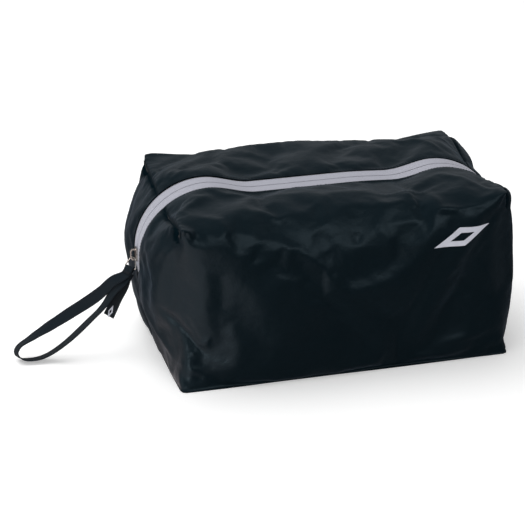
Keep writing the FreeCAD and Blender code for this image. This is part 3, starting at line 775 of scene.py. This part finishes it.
def floor_material():
    """Plain pale floor. In reflections it is dark, but for a bright card in front of the left corner."""
    material, tree, shader = node_material("studio_floor", 0.9, specular=0.1)
    room = place(tree)
    tint = mix_colours(tree, noise(tree, room, 6.0), (0.90, 0.90, 0.90), (0.93, 0.93, 0.93))
    feed(tree, shader, base_color=tint, emission_color=(1, 1, 1), emission_strength=0.34)
    split = add_node(tree, "SeparateXYZ", vector=room)
    card = map_range(tree, split.outputs["X"], *CARD_EDGE, *CARD_LIGHT, "SMOOTHSTEP")
    beyond = map_range(tree, split.outputs["Y"], *CARD_END, 1.0, CARD_FAR, "SMOOTHSTEP")
    seen = add_node(tree, "Emission", color=CARD_COLOUR, strength=math_node(tree, "MULTIPLY", card, beyond))
    mirrored = add_node(tree, "LightPath").outputs["Is Glossy Ray"]
    both = add_node(tree, "MixShader", mirrored, shader.outputs["BSDF"], seen.outputs["Emission"])
    feed(tree, tree.nodes["Material Output"], both.outputs["Shader"])
    material.cycles.emission_sampling = "NONE"
    return material


NYLON = nylon_material()
TAPE = two_tone("zip_tape_weave", twill, (0.35, 0.355, 0.41), (0.455, 0.46, 0.525), 0.75,
                [(twill, 0.35, 0.0004)], sheen=0.15, specular=0.25)
FIBRES = cloudy(900.0, 2.0)
THREAD = two_tone("dark_thread", FIBRES, (0.0070, 0.0098, 0.0133), (0.010, 0.014, 0.019), 0.62,
                  [(FIBRES, 0.4, 0.0003)], specular=0.3)
WEBBING = webbing_material("strap_webbing", (0.002, 0.006, 0.010), (0.007, 0.014, 0.021), 0.9)
TAB_WEAVE = webbing_material("tab_weave", (0.003, 0.006, 0.009), (0.008, 0.012, 0.016), 0.5)
BINDING = webbing_material("binding_tape", (0.006, 0.009, 0.012), (0.013, 0.018, 0.023), 0.8)
COIL = two_tone("zip_coil_nylon", cloudy(150.0), (0.30, 0.30, 0.35), (0.42, 0.42, 0.48), 0.35)
NICKEL = metal_material()
PRINT = two_tone("print_film", cloudy(90.0), (0.52, 0.53, 0.60), (0.62, 0.63, 0.71), 0.45,
                 [(lambda tree: weave(tree, place(tree, True), 0.5), 0.15, 0.0002)], specular=0.4)


# --- Pieces ---

def mount(obj, body, node=None):
    """Hides the CAD node that a piece stands for, if any, and attaches the piece to the body that it moves
    with.
    """
    if node:
        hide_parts(node)
    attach(obj, body)


def layered(name, points, faces, normals, flat, materials, extra=None, shade=None):
    """A cloth piece with both faces and a rim, keeping the given normals so that pieces meet unseen."""
    used, local = np.unique(faces, return_inverse=True)
    quads = local.reshape(faces.shape)
    outer, up, count = points[used], normals[used], len(used)
    ids, rim = open_rim(quads, np.ones(count, bool))
    all_points = np.concatenate((outer, outer - up * CLOTH))
    rim = ids[rim]
    side_quads = np.concatenate((rim[:, ::-1], rim + count), axis=1)
    a, b, c, d = (all_points[side_quads[:, k]] for k in range(4))
    side = np.repeat(unit(np.cross(c - a, d - b))[:, None, :], 4, axis=1)
    all_faces = np.concatenate((quads, quads[:, ::-1] + count, side_quads))
    corner = np.concatenate((up[quads], -up[quads[:, ::-1]], side))
    if extra is not None:
        more_points, more_faces, more_normals = extra
        all_faces = np.concatenate((all_faces, more_faces + len(all_points)))
        all_points = np.concatenate((all_points, more_points))
        corner = np.concatenate((corner, more_normals[more_faces]))
    spare = np.zeros((len(all_faces) - 2 * len(quads), 4, 2))
    mesh = new_mesh(name, all_points, all_faces, flat=np.concatenate((flat, flat[:, ::-1], spare)))
    # painted seam shade, kept per point for the cloth material
    if shade is not None:
        dark = np.zeros(len(all_points), np.float32)
        dark[:count] = shade[used]
        mesh.attributes.new("seam_shade", "FLOAT", "POINT").data.foreach_set("value", dark)
    mesh.normals_split_custom_set(corner.reshape(-1, 3).tolist())
    return new_object(name, mesh, *materials)


def tube(points, radius, sides):
    """Quads of a round tube through the points, with its point normals."""
    points = np.asarray(points, float)
    ahead = points[2:] - points[:-2]
    ahead = unit(np.concatenate((points[1:2] - points[:1], ahead, points[-1:] - points[-2:-1])))
    turn = np.arange(sides) * 2 * math.pi / sides
    side = unit(np.cross(ahead[0], (0.31, 0.52, 0.79)))
    outs = []
    for way in ahead:
        side = unit(side - way * (side @ way))
        outs.append(np.outer(np.cos(turn), side) + np.outer(np.sin(turn), np.cross(way, side)))
    outs = np.array(outs)
    rings = points[:, None] + outs * radius
    return rings.reshape(-1, 3), sleeve_faces(len(points), sides), outs.reshape(-1, 3)


def gather(parts):
    """Joins (points, faces, normals) parts into one."""
    starts = np.cumsum([0] + [len(points) for points, _, _ in parts[:-1]])
    points, faces, normals = zip(*((p, f + start, n) for (p, f, n), start in zip(parts, starts)))
    return np.concatenate(points), np.concatenate(faces), np.concatenate(normals)


# Stitches: (length, gap, radius of the thread)
ZIP_STITCH, STRAP_STITCH, SEAM_STITCH = (2.5, 0.7, 0.19), (2.6, 0.8, 0.16), (2.6, 0.8, 0.15)


def stitches(line, outs, length, gap, radius):
    """A row of short threads laid along a line, each dipping into the cloth at both ends."""
    along = lengths_along(line)
    lift = np.array((-1.2, 0.3, 0.7, 0.3, -1.2))[:, None] * radius
    parts = []
    for k in range(int(along[-1] // (length + gap))):
        marks = k * (length + gap) + np.array((0.0, 0.2, 0.5, 0.8, 1.0)) * length
        path = interpolate(marks, along, line) + unit(interpolate(marks, along, outs)) * lift
        parts.append(tube(path, radius, 5))
    return gather(parts)


def lay_on(tree, line, lift):
    """Moves points onto the nearest place of the surface, raised by lift; also gives the normals there."""
    found, outs = [], []
    for p in line:
        spot, normal, _, _ = tree.find_nearest(Vector(p))
        found.append(np.array(spot) + np.array(normal) * lift)
        outs.append(np.array(normal))
    return np.array(found), np.array(outs)


def zip_path(step):
    """Points and outward directions along the zip, over the left end, the top and the right end."""
    half = [(-end_centre_x(z), z) for z in np.arange(ZIP_FOOT - 3, TURN_Z, 1.0)]
    for angle in np.linspace(0, math.pi / 2, 90):
        half.append((-TURN_X - RADIUS * math.cos(angle), TURN_Z + RADIUS * math.sin(angle)))
    half += [(x, top_centre_z(x)) for x in np.arange(-TURN_X + 1, 0, 1.0)]
    half.append((0.0, top_centre_z(0)))
    line = np.array(half + [(-x, z) for x, z in half[:-1][::-1]])
    line = lean(np.insert(line, 1, 0.0, axis=1))
    line = resample(line, np.linspace(0, 1, 2 * int(lengths_along(line)[-1] / step / 2) + 1))
    ahead = np.gradient(line, axis=0)
    return line, unit(ahead[:, ::-1] * (-1, 0, 1))


def zip_parts(line):
    """Index ranges of the path's four lengths: left end, top left, top right, right end."""
    x, _, z = line.T
    middle, last = len(line) // 2, len(line) - 1
    left = int(np.argmax((x > -HALF_TOP) & (np.arange(len(x)) > 5) & (z > 140)))
    return {"left": (0, left), "top_left": (left, middle), "top_right": (middle, last - left),
            "right": (last - left, last)}


def mount_top(obj, node):
    """Hides the CAD node of a piece on a quarter of the top and bakes the piece's placement into its mesh."""
    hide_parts(node)
    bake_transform(obj)


# The half tape's section: (distance from the zip's centre line, depth under the cloth's face).
TAPE_SECTION = ((18.5, 2.7), (16.5, 2.0), (13.0, 1.25), (9.5, 1.17), (6.0, 1.12), (3.4, 1.15), (2.3, 1.02),
                (1.2, 1.02), (0.7, 1.2), (0.45, 1.5))
COIL_STEP, COIL_PITCH, COIL_TURN, COIL_WIRE = 0.22, 1.5, 0.8, 0.22
COIL_Y, COIL_DEPTH = 2.3, 2.85
COIL_CUT = 60                           # steps of the coil left out at each stop


def zip_lengths():
    """Tape and coil, front and back, each in its four lengths."""
    line, outs = zip_path(2.5)
    fine, fine_outs = zip_path(COIL_STEP)
    turns = COIL_STEP / COIL_PITCH * np.arange(len(fine)) * 2 * math.pi
    cols = len(TAPE_SECTION)
    for side, sign in (("front", -1), ("back", 1)):
        grid = np.stack([line - outs * depth + (0, sign * y, 0) for y, depth in TAPE_SECTION], axis=1)
        points = grid.reshape(-1, 3)
        quads = grid_faces(len(line), cols)[:, ::sign]
        normals = point_normals(points, quads)
        flat = measure(grid).reshape(-1, 2)
        rows = quads.min(axis=1) // cols
        helix = fine - fine_outs * (COIL_DEPTH - COIL_TURN * np.cos(turns))[:, None]
        helix[:, 1] = sign * (COIL_Y + COIL_TURN * np.sin(turns))
        fine_parts = zip_parts(fine)
        for part, (a, b) in zip_parts(line).items():
            keep = quads[(rows >= a) & (rows < b)]
            tape = layered(f"{side}_tape_{part}_cloth", points, keep, normals, flat[keep], [TAPE])
            first, last = fine_parts[part]
            first += COIL_CUT * (part == "left")
            last -= COIL_CUT * (part == "right")
            wire, faces, _ = tube(helix[first:last + 1:2], COIL_WIRE, 4)
            name = f"{side}_coil_{part}_wire"
            coil = new_object(name, new_mesh(name, wire, faces), COIL)
            for obj, kind in ((tape, "tape"), (coil, "coil")):
                if part in ("left", "right"):
                    mount(obj, "bag", f"{side}_{kind}_{part}")
                else:
                    mount_top(obj, f"{side}_{kind}_top")


def to_centre(points):
    """Unit directions along Y from the points to the bag's centre plane."""
    return -np.sign(points) * (0, 1, 0)


def hem(points, normals, used, rim):
    """Along the open zip edge the cloth rolls over and down on to the tape."""
    base, up = points[used], normals[used]
    inward = to_centre(base)
    rolled = ((0, 0), (0.28, 0.12), (0.34, 0.5), (0.1, 1.15))
    rings = [base + inward * across - up * down for across, down in rolled]
    outs = [up, unit(up + inward), unit(inward + up * 0.1), unit(inward - up * 0.6)]
    return skirt(rim, rings, outs)


def lip_under(points, normals, used, rim, tree):
    """A flange of the wall's cloth reaching under the lifting part, so that no gap opens between them."""
    base, up = points[used], normals[used]
    inward = to_centre(base)
    rings = [base - up * 0.1]
    for reach, depth in ((2, 1.0), (8, 1.15), (15, 1.3)):
        rings.append(lay_on(tree, base + inward * reach, -depth)[0])
    return skirt(rim, rings, [up] * len(rings))


def cloth_shell():
    """The bag's shaped, settled and sewn surface: points, quads, regions, flat coordinates and painted seam
    shade.
    """
    points, faces, regions, flat = build_shell()
    points = shape_shell(points, faces)
    points = settle(points, faces)
    points, faces, regions, flat = refine(points, faces, regions, flat)
    points = pucker(points, faces)
    points[:, 2] = np.maximum(points[:, 2], 0.3)
    # the painted seam shade is 1 within about a millimetre of a seam and gone about 3.5 mm away
    return points, faces, regions, flat, smooth(1.45 - seam_distance(points) / 2.4)


def edge_stitches(tree, sign, parts):
    """Rows of stitches beside the zip on the given lengths of its path."""
    line, _ = zip_path(1.0)
    ranges = zip_parts(line)
    rows = []
    for part in parts:
        a, b = ranges[part]
        path = line[a:b + 1].copy()
        path[:, 1] = [sign * (cloth_edge(z) + 2.0) for z in path[:, 2]]
        spots, ups = lay_on(tree, path[path[:, 2] > ZIP_FOOT + 2], 0.05)
        rows.append(stitches(spots, ups, *ZIP_STITCH))
    return gather(rows)


def cloth_pieces():
    """The cloth: walls and base on the bag, and the top's quarters. Gives its outer surface."""
    points, faces, regions, flat, shade = cloth_shell()
    by_zip = np.abs(np.abs(points[:, 1]) - CLOTH_EDGE) < 0.6
    points = lean(points)
    x, y, z = np.abs(points.T)
    by_zip |= (z < ZIP_FOOT + 20) & (y < CLOTH_EDGE + 0.5) & (z > ZIP_FOOT - 6)
    by_flap = (z > 150) & (np.abs(y - HINGE_Y) < 3.5) & (x < HALF_TOP - 2)
    normals = point_normals(points, faces)
    tree = BVHTree.FromPolygons(points.tolist(), faces.tolist())
    for k, region in enumerate(REGIONS):
        mine = faces[regions == k]
        side, _, end = region.partition("_")
        sign = -1 if side == "front" else 1
        extra = []
        if region != "base":
            extra.append(hem(points, normals, *open_rim(mine, by_zip)))
            if not end:
                extra.append(lip_under(points, normals, *open_rim(mine, by_flap), tree))
            threads = edge_stitches(tree, sign, ["top_" + end] if end else ["left", "right"])
            extra.append(threads)
        name = region + ("_top_cloth" if end else "_cloth" if region == "base" else "_wall_cloth")
        sewn = gather(extra) if extra else None
        obj = layered(name, points, mine, normals, flat[regions == k], [NYLON, THREAD], sewn, shade)
        if extra:
            index = np.zeros(len(obj.data.polygons), np.int32)
            index[-len(threads[1]):] = 1
            obj.data.polygons.foreach_set("material_index", index)
        if end:
            mount_top(obj, side + "_top_panel")
        else:
            mount(obj, "bag", region + "_panel")
    return tree


# --- Strap, tab and ring: places at rest ---
STRAP_THICK, LAYER, STRAP_WRAP = 1.0, 1.35, 1.4
STRAP_AT_RING, STRAP_FREE = 5.5, 6.2
TAB_HALF, TAB_THICK = 6.0, 0.8
BAR = np.array((math.sin(math.radians(35)), -math.cos(math.radians(35)), 0.0))
STRAP_SWING = next(joint for joint in frame["joints"] if joint["name"] == "strap_swing")
STRAP_BAR = np.array(STRAP_SWING["pos_m"]) / MM
LEAD = unit(np.array((-0.60, -0.42, -0.68)))
FACE = unit(np.cross(LEAD, BAR))
STRAP_RUN = [
    ((-215.1, -7.8, 71.0), (0.50, -0.83, 0.20)), ((-225.1, -8.5, 57.5), (0.42, -0.84, 0.34)),
    ((-237.5, -8.9, 45.1), (0.39, -0.84, 0.38)), ((-255.2, -6.1, 27.3), (0.36, -0.86, 0.35)),
    ((-274.5, -3.7, 11.4), (0.25, -0.92, 0.28)), ((-290.3, -3.0, 3.9), (0.15, -0.96, 0.22)),
    ((-302.3, -2.0, 2.7), (0.15, -0.96, 0.22)), ((-310.3, 0.5, 4.2), (0.20, -0.94, 0.26)),
    ((-314, 3.6, 8.8), (0.25, -0.92, 0.30)), ((-311, 6.3, 14.1), (0.32, -0.90, 0.30)),
    ((-303.7, 7.7, 18.4), (0.40, -0.88, 0.24)), ((-293, 8.1, 24.4), (0.45, -0.88, 0.10)),
    ((-275.6, 6.0, 35.3), (0.49, -0.84, -0.20)), ((-254.6, 2.7, 49.0), (0.50, -0.70, -0.48)),
    ((-233.1, 0.0, 63.0), (0.48, -0.52, -0.70)), ((-222.6, -2.2, 72.5), (0.50, -0.66, -0.56)),
    ((-213.6, -4.2, 81.2), (0.55, -0.77, -0.32)),
]
TAB_RUN = [np.array(p, float) for p in ((-206.2, -8.0, 74), (-212.3, -9.5, 64.3), (-217.3, -11.0, 55),
                                         (-222.1, -12.5, 46.3))]
TAB_WIDTH = np.array((0.8, -0.6, 0.0))


def spline(knots, values, at):
    """Natural cubic through the values at the knots."""
    n = len(knots)
    h = np.diff(knots)
    matrix, right = np.eye(n), np.zeros_like(values)
    for i in range(1, n - 1):
        matrix[i, i - 1:i + 2] = h[i - 1], 2 * (h[i - 1] + h[i]), h[i]
        right[i] = 6 * ((values[i + 1] - values[i]) / h[i] - (values[i] - values[i - 1]) / h[i - 1])
    bend = np.linalg.solve(matrix, right)
    k = np.clip(np.searchsorted(knots, at) - 1, 0, n - 2)
    a, b = (knots[k + 1] - at) / h[k], (at - knots[k]) / h[k]
    a, b, step = a[:, None], b[:, None], h[k][:, None]
    curve = ((a ** 3 - a) * bend[k] + (b ** 3 - b) * bend[k + 1]) * step ** 2 / 6
    return a * values[k] + b * values[k + 1] + curve


def strip(name, stations, thick, step, material):
    """A flat woven strip with softly rounded edges along (centre, width direction, half width) stations."""
    centres, widths, halves = (np.array(column, float) for column in zip(*stations))
    knots = lengths_along(centres)
    at = np.linspace(0, knots[-1], int(knots[-1] / step) + 1)
    path = spline(knots, centres, at)
    k = np.clip(np.searchsorted(knots, at) - 1, 0, len(knots) - 2)
    t = (at - knots[k]) / (knots[k + 1] - knots[k])
    width = lerp(widths[k], widths[k + 1], smooth(t)[:, None])
    half = lerp(halves[k], halves[k + 1], t)
    ahead = unit(np.gradient(path, axis=0))
    side = unit(width - ahead * (width * ahead).sum(axis=1, keepdims=True))
    up = unit(np.cross(ahead, side))
    # (share of the half width, inset from the edge, share of the half thickness) round the section
    half_section = [(-1, 0.0, 0.0), (-1, 0.1, 0.62), (-1, 0.45, 1.0), (-1, 1.3, 0.86), (-0.3, 0, 0.95),
                    (0.3, 0, 0.95), (1, 1.3, 0.86), (1, 0.45, 1.0), (1, 0.1, 0.62)]
    half_section = [(a, math.copysign(inset, a), c) for a, inset, c in half_section]
    section = half_section + [(-a, -inset, -c) for a, inset, c in half_section]
    grid = np.stack([path + side * (a * half - inset)[:, None] + up * (c * thick / 2)
                     for a, inset, c in section], axis=1)
    rows, cols = grid.shape[:2]
    quads = sleeve_faces(rows, cols)[:, (0, 3, 2, 1)]
    across = np.array([a * 6.0 - inset for a, inset, _ in section])
    flat = np.stack((at[quads // cols], across[quads % cols]), axis=-1)
    m = np.arange(cols // 2 - 1)
    cap = np.stack((m, m + 1, cols - 2 - m, cols - 1 - m), axis=1)
    faces = np.concatenate((quads, cap, cap[:, ::-1] + (rows - 1) * cols))
    spare = np.zeros((2 * len(cap), 4, 2))
    mesh = new_mesh(name, grid.reshape(-1, 3), faces, flat=np.concatenate((flat, spare)))
    return new_object(name, mesh, material), path, side, up, half


def strap_stations():
    """The strap's run: out from the ring, round the loop, back, and over the ring's lower bar."""
    def near_bar(ahead, up):
        return STRAP_BAR + LEAD * ahead + FACE * up, BAR, STRAP_AT_RING
    stations = [near_bar(ahead, -1.5 * LAYER) for ahead in (6.0, 11.5)]
    last = len(STRAP_RUN) - 1
    for i, (centre, width) in enumerate(STRAP_RUN):
        ease = smooth(min(i, last - i) / 2.5)
        stations.append((centre, width, lerp(STRAP_AT_RING, STRAP_FREE, ease)))
    stations.append(near_bar(6.5, 0.6 * LAYER))
    for angle in np.linspace(0, math.pi, 7):
        stations.append(near_bar(-STRAP_WRAP * math.sin(angle), STRAP_WRAP * math.cos(angle)))
    return stations + [near_bar(ahead, -0.5 * LAYER) for ahead in (4.0, 7.0, 10.0)]


def thread_piece(name, parts, body, node=None):
    points, faces, _ = gather(parts)
    mesh = new_mesh(name, points, faces, flat=np.zeros((len(faces), 4, 2)))
    mount(new_object(name, mesh, THREAD), body, node)


def strap_pieces():
    strap, path, side, up, half = strip("wrist_strap_webbing", strap_stations(), STRAP_THICK, 0.9, WEBBING)
    mount(strap, "strap", "wrist_strap")
    path, side, up, half = (values[12:-24] for values in (path, side, up, half))
    rows = []
    for share in (-0.74, 0.74):
        for face in (-1, 1):
            line = path + side * (half * share)[:, None] + up * (face * STRAP_THICK / 2)
            rows.append(stitches(line, up * face, *STRAP_STITCH))
    thread_piece("wrist_strap_edge_stitches", rows, "strap")

    below = FACE * (2 * LAYER + TAB_THICK / 2 + 0.5)
    stations = [(STRAP_BAR + LEAD * a - below, BAR, TAB_HALF) for a in (5.0, 9.0)]
    stations += [(p, TAB_WIDTH, TAB_HALF) for p in TAB_RUN]
    tab = strip("strap_tab_cloth", stations, TAB_THICK, 0.8, TAB_WEAVE)[0]
    mount(tab, "strap", "strap_tab")

    face = 1.5 * LAYER
    marks = np.linspace(0, 1, 7)[:, None]
    tack = []
    for k in range(9):
        along = 5.1 + k * 0.27
        slant = LEAD * 0.14 + BAR * (STRAP_AT_RING - 0.9)
        line = STRAP_BAR + LEAD * along + lerp(-slant, slant, marks)
        tack.append(tube(line + FACE * (face + 0.14 * np.sin(math.pi * marks)), 0.2, 6))
    for s in (-1, 1):
        edge = STRAP_BAR + BAR * (s * (STRAP_AT_RING - 1.0)) + FACE * (face + 0.1)
        tack.append(tube(edge + LEAD * lerp(4.9, 7.5, marks), 0.28, 6))
    thread_piece("strap_bartack_threads", tack, "strap", "strap_bartack")


# --- Prints: a plain lozenge with a slit, on the front and on the tab ---

FRONT_PRINT, TAB_PRINT = (31.0, 9.5), (7.0, 2.4)         # half sizes
PRINT_SLIT = 0.42                                        # the slit's share of them
PRINT_SLANT, PRINT_AT = math.radians(15), (114, 134)


def lozenge_grid(size, across, around):
    """(along, up) places of a lozenge ring, indexed [from inner to outer outline, round]."""
    corners = np.array(((-1, 0), (0, -1), (1, 0), (0, 1), (-1, 0)), float) * size
    outline = np.concatenate([lerp(corners[k], corners[k + 1], np.linspace(0, 1, around + 1)[:-1, None])
                              for k in range(4)])
    return np.stack([outline * lerp(PRINT_SLIT, 1.0, t) for t in np.linspace(0, 1, across)])


def film(name, places, flat, body, node):
    """A printed lozenge laid at the given places."""
    rings, around = flat.shape[:2]
    quads = sleeve_faces(rings, around)
    mesh = new_mesh(name, places, quads, flat=flat.reshape(-1, 2)[quads])
    mount(new_object(name, mesh, PRINT), body, node)


def print_pieces(tree):
    flat = lozenge_grid(FRONT_PRINT, 9, 24)
    c, s = math.cos(PRINT_SLANT), math.sin(PRINT_SLANT)
    found = []
    for x, z in flat.reshape(-1, 2) @ ((c, s), (-s, c)) + PRINT_AT:
        hit, normal, _, _ = tree.ray_cast(Vector((x, -200, z)), Vector((0, 1, 0)))
        found.append(np.array(hit) + np.array(normal) * math.copysign(0.16, -normal[1]))
    film("front_print_film", found, flat, "bag", "front_print")

    low, high = TAB_RUN[-1], TAB_RUN[-2]
    along = unit(high - low)
    across = unit(TAB_WIDTH - along * (TAB_WIDTH @ along))
    out = unit(np.cross(along, across))
    flat = lozenge_grid(TAB_PRINT, 4, 8)
    places = (low + high) / 2 + flat.reshape(-1, 2) @ (along, across) + out * math.copysign(0.62, -out[1])
    film("tab_print_film", places, flat, "strap", "tab_print")


# --- Inside: bindings ---

BINDING_HALF, BINDING_WIDTH = 0.62, 7.0


def bound_edge(node, path, inward, across):
    """Binding tape folded round a raw seam edge: a flat sleeve with rounded folds and rows of stitches."""
    path = lean(path)
    inward, across = np.array(inward, float), np.array(across, float)
    section = [(0.0, 0.45), (0.5, BINDING_HALF), (3.5, 0.55), (6.2, BINDING_HALF), (6.8, 0.45),
               (BINDING_WIDTH, 0.0)]
    section += [(a, -b) for a, b in section[-2::-1]]
    grid = np.stack([path + inward * a + across * b for a, b in section], axis=1)
    quads = grid_faces(*grid.shape[:2])
    flat = measure(grid).reshape(-1, 2)[quads]
    name = node + "_tape"
    sleeve = new_mesh(name, grid.reshape(-1, 3), quads, flat=flat)
    mount(new_object(name, sleeve, BINDING), "bag", node)
    threads = []
    for face in (-1, 1):
        line = path + inward * 5.6 + across * (BINDING_HALF * face)
        threads.append(stitches(line, np.broadcast_to(across * face, line.shape), *SEAM_STITCH))
    thread_piece(name + "_stitches", threads, "bag")


def bindings():
    for end, sx in (("left", -1), ("right", 1)):
        path = [(sx * (end_centre_x(z) - 1.4), 0, z) for z in np.linspace(3.0, ZIP_FOOT - 4, 40)]
        bound_edge("end_binding_" + end, path, (-sx, 0, 0), (0, 1, 0))
        path = [(sx * (LENGTH_BASE / 2 - 3.2), y, 1.85) for y in np.linspace(-91, 91, 60)]
        bound_edge("base_binding_" + end, path, (-sx, 0, 0), (0, 0, 1))
        for side, sy in (("front", -1), ("back", 1)):
            path = [(sx * (HALF_TOP - 2.0), sy * y, top_height(HALF_TOP, y) - 3.0)
                    for y in np.linspace(20.5, 87.0, 40)]
            bound_edge(f"{side}_corner_binding_{end}", path, (0, 0, -1), (1, 0, 0))


# --- Metal parts: the CAD nodes themselves ---

def metal_parts():
    for name in ("zip_slider", "pull_ring", "zip_stop_left", "zip_stop_right"):
        node = frame["nodes"][name]
        node.data.materials.clear()
        node.data.materials.append(NICKEL)
        node.data.polygons.foreach_set("use_smooth", np.ones(len(node.data.polygons), bool))
        if name != "pull_ring":
            soften = node.modifiers.new("Bevel", "BEVEL")
            soften.width = 0.00025
            soften.segments = 2
            soften.limit_method = "ANGLE"
            soften.angle_limit = math.radians(35)
            soften.harden_normals = True
        split = node.modifiers.new("Edges", "EDGE_SPLIT")
        split.split_angle = math.radians(50)


# --- Studio: the lights and the camera are placed in metres ---

FLOOR, FLOOR_HEIGHT = 4000.0, -0.3      # half width, and height just under the bag, in millimetres
BRIGHT_SIDE = (-0.1, 0.62, 0.78)        # most of the world's light comes from here

def area_light(name, place_at, target, size, power):
    data = bpy.data.lights.new(name, "AREA")
    data.shape = "RECTANGLE"
    data.size, data.size_y = size
    data.energy = power
    light = new_object(name, data)
    light.location = place_at
    light.rotation_euler = (Vector(target) - Vector(place_at)).to_track_quat("-Z", "Y").to_euler()
    return light


def world_light():
    """Light from all round, strongest from above and behind; the camera sees plain white."""
    world = bpy.data.worlds.new("studio")
    bpy.context.scene.world = world
    world.use_nodes = True
    tree = world.node_tree
    around = add_node(tree, "TexCoord").outputs["Generated"]
    towards = add_node(tree, "VectorMath", around, BRIGHT_SIDE, operation="DOT_PRODUCT").outputs["Value"]
    seen = add_node(tree, "LightPath").outputs["Is Camera Ray"]
    strength = add_node(tree, "Mix", factor=seen, a=map_range(tree, towards, -0.45, 0.9, 0.10, 7.0), b=1.0)
    feed(tree, tree.nodes["Background"], strength=strength.outputs["Result"])


def studio():
    world_light()
    key = area_light("key_above", (-0.5, 0.6, 1.8), (0, 0, 0.1), (2.2, 1.8), 32)
    key.visible_glossy = False
    area_light("side_left", (-2.0, -0.5, 0.6), (-0.1, -0.05, 0.08), (0.9, 1.0), 4)
    area_light("corner_left", (-1.2, -1.6, 0.3), (-0.1, -0.1, 0.08), (0.7, 0.5), 7)
    area_light("fill_front", (0.6, -2.4, 1.8), (0, 0, 0), (1.8, 1.2), 15)
    corners = [(x * FLOOR, y * FLOOR, FLOOR_HEIGHT) for x, y in ((-1, -1), (1, -1), (1, 1), (-1, 1))]
    floor = new_mesh("studio_floor", corners, [(0, 1, 2, 3)])
    new_object("studio_floor", floor, floor_material())


def camera():
    data = bpy.data.cameras.new("view")
    data.sensor_width = 36.0
    data.lens = 123.1
    data.clip_start, data.clip_end = 0.05, 20
    obj = new_object("view", data)
    obj.location = (-0.476, -1.598, 0.846)
    obj.rotation_euler = (math.radians(90 - 24.87), 0, math.radians(-14.57))
    bpy.context.scene.camera = obj


surface = cloth_pieces()
zip_lengths()
strap_pieces()
print_pieces(surface)
bindings()
metal_parts()
studio()
camera()
bpy.context.scene.view_settings.view_transform = "Standard"
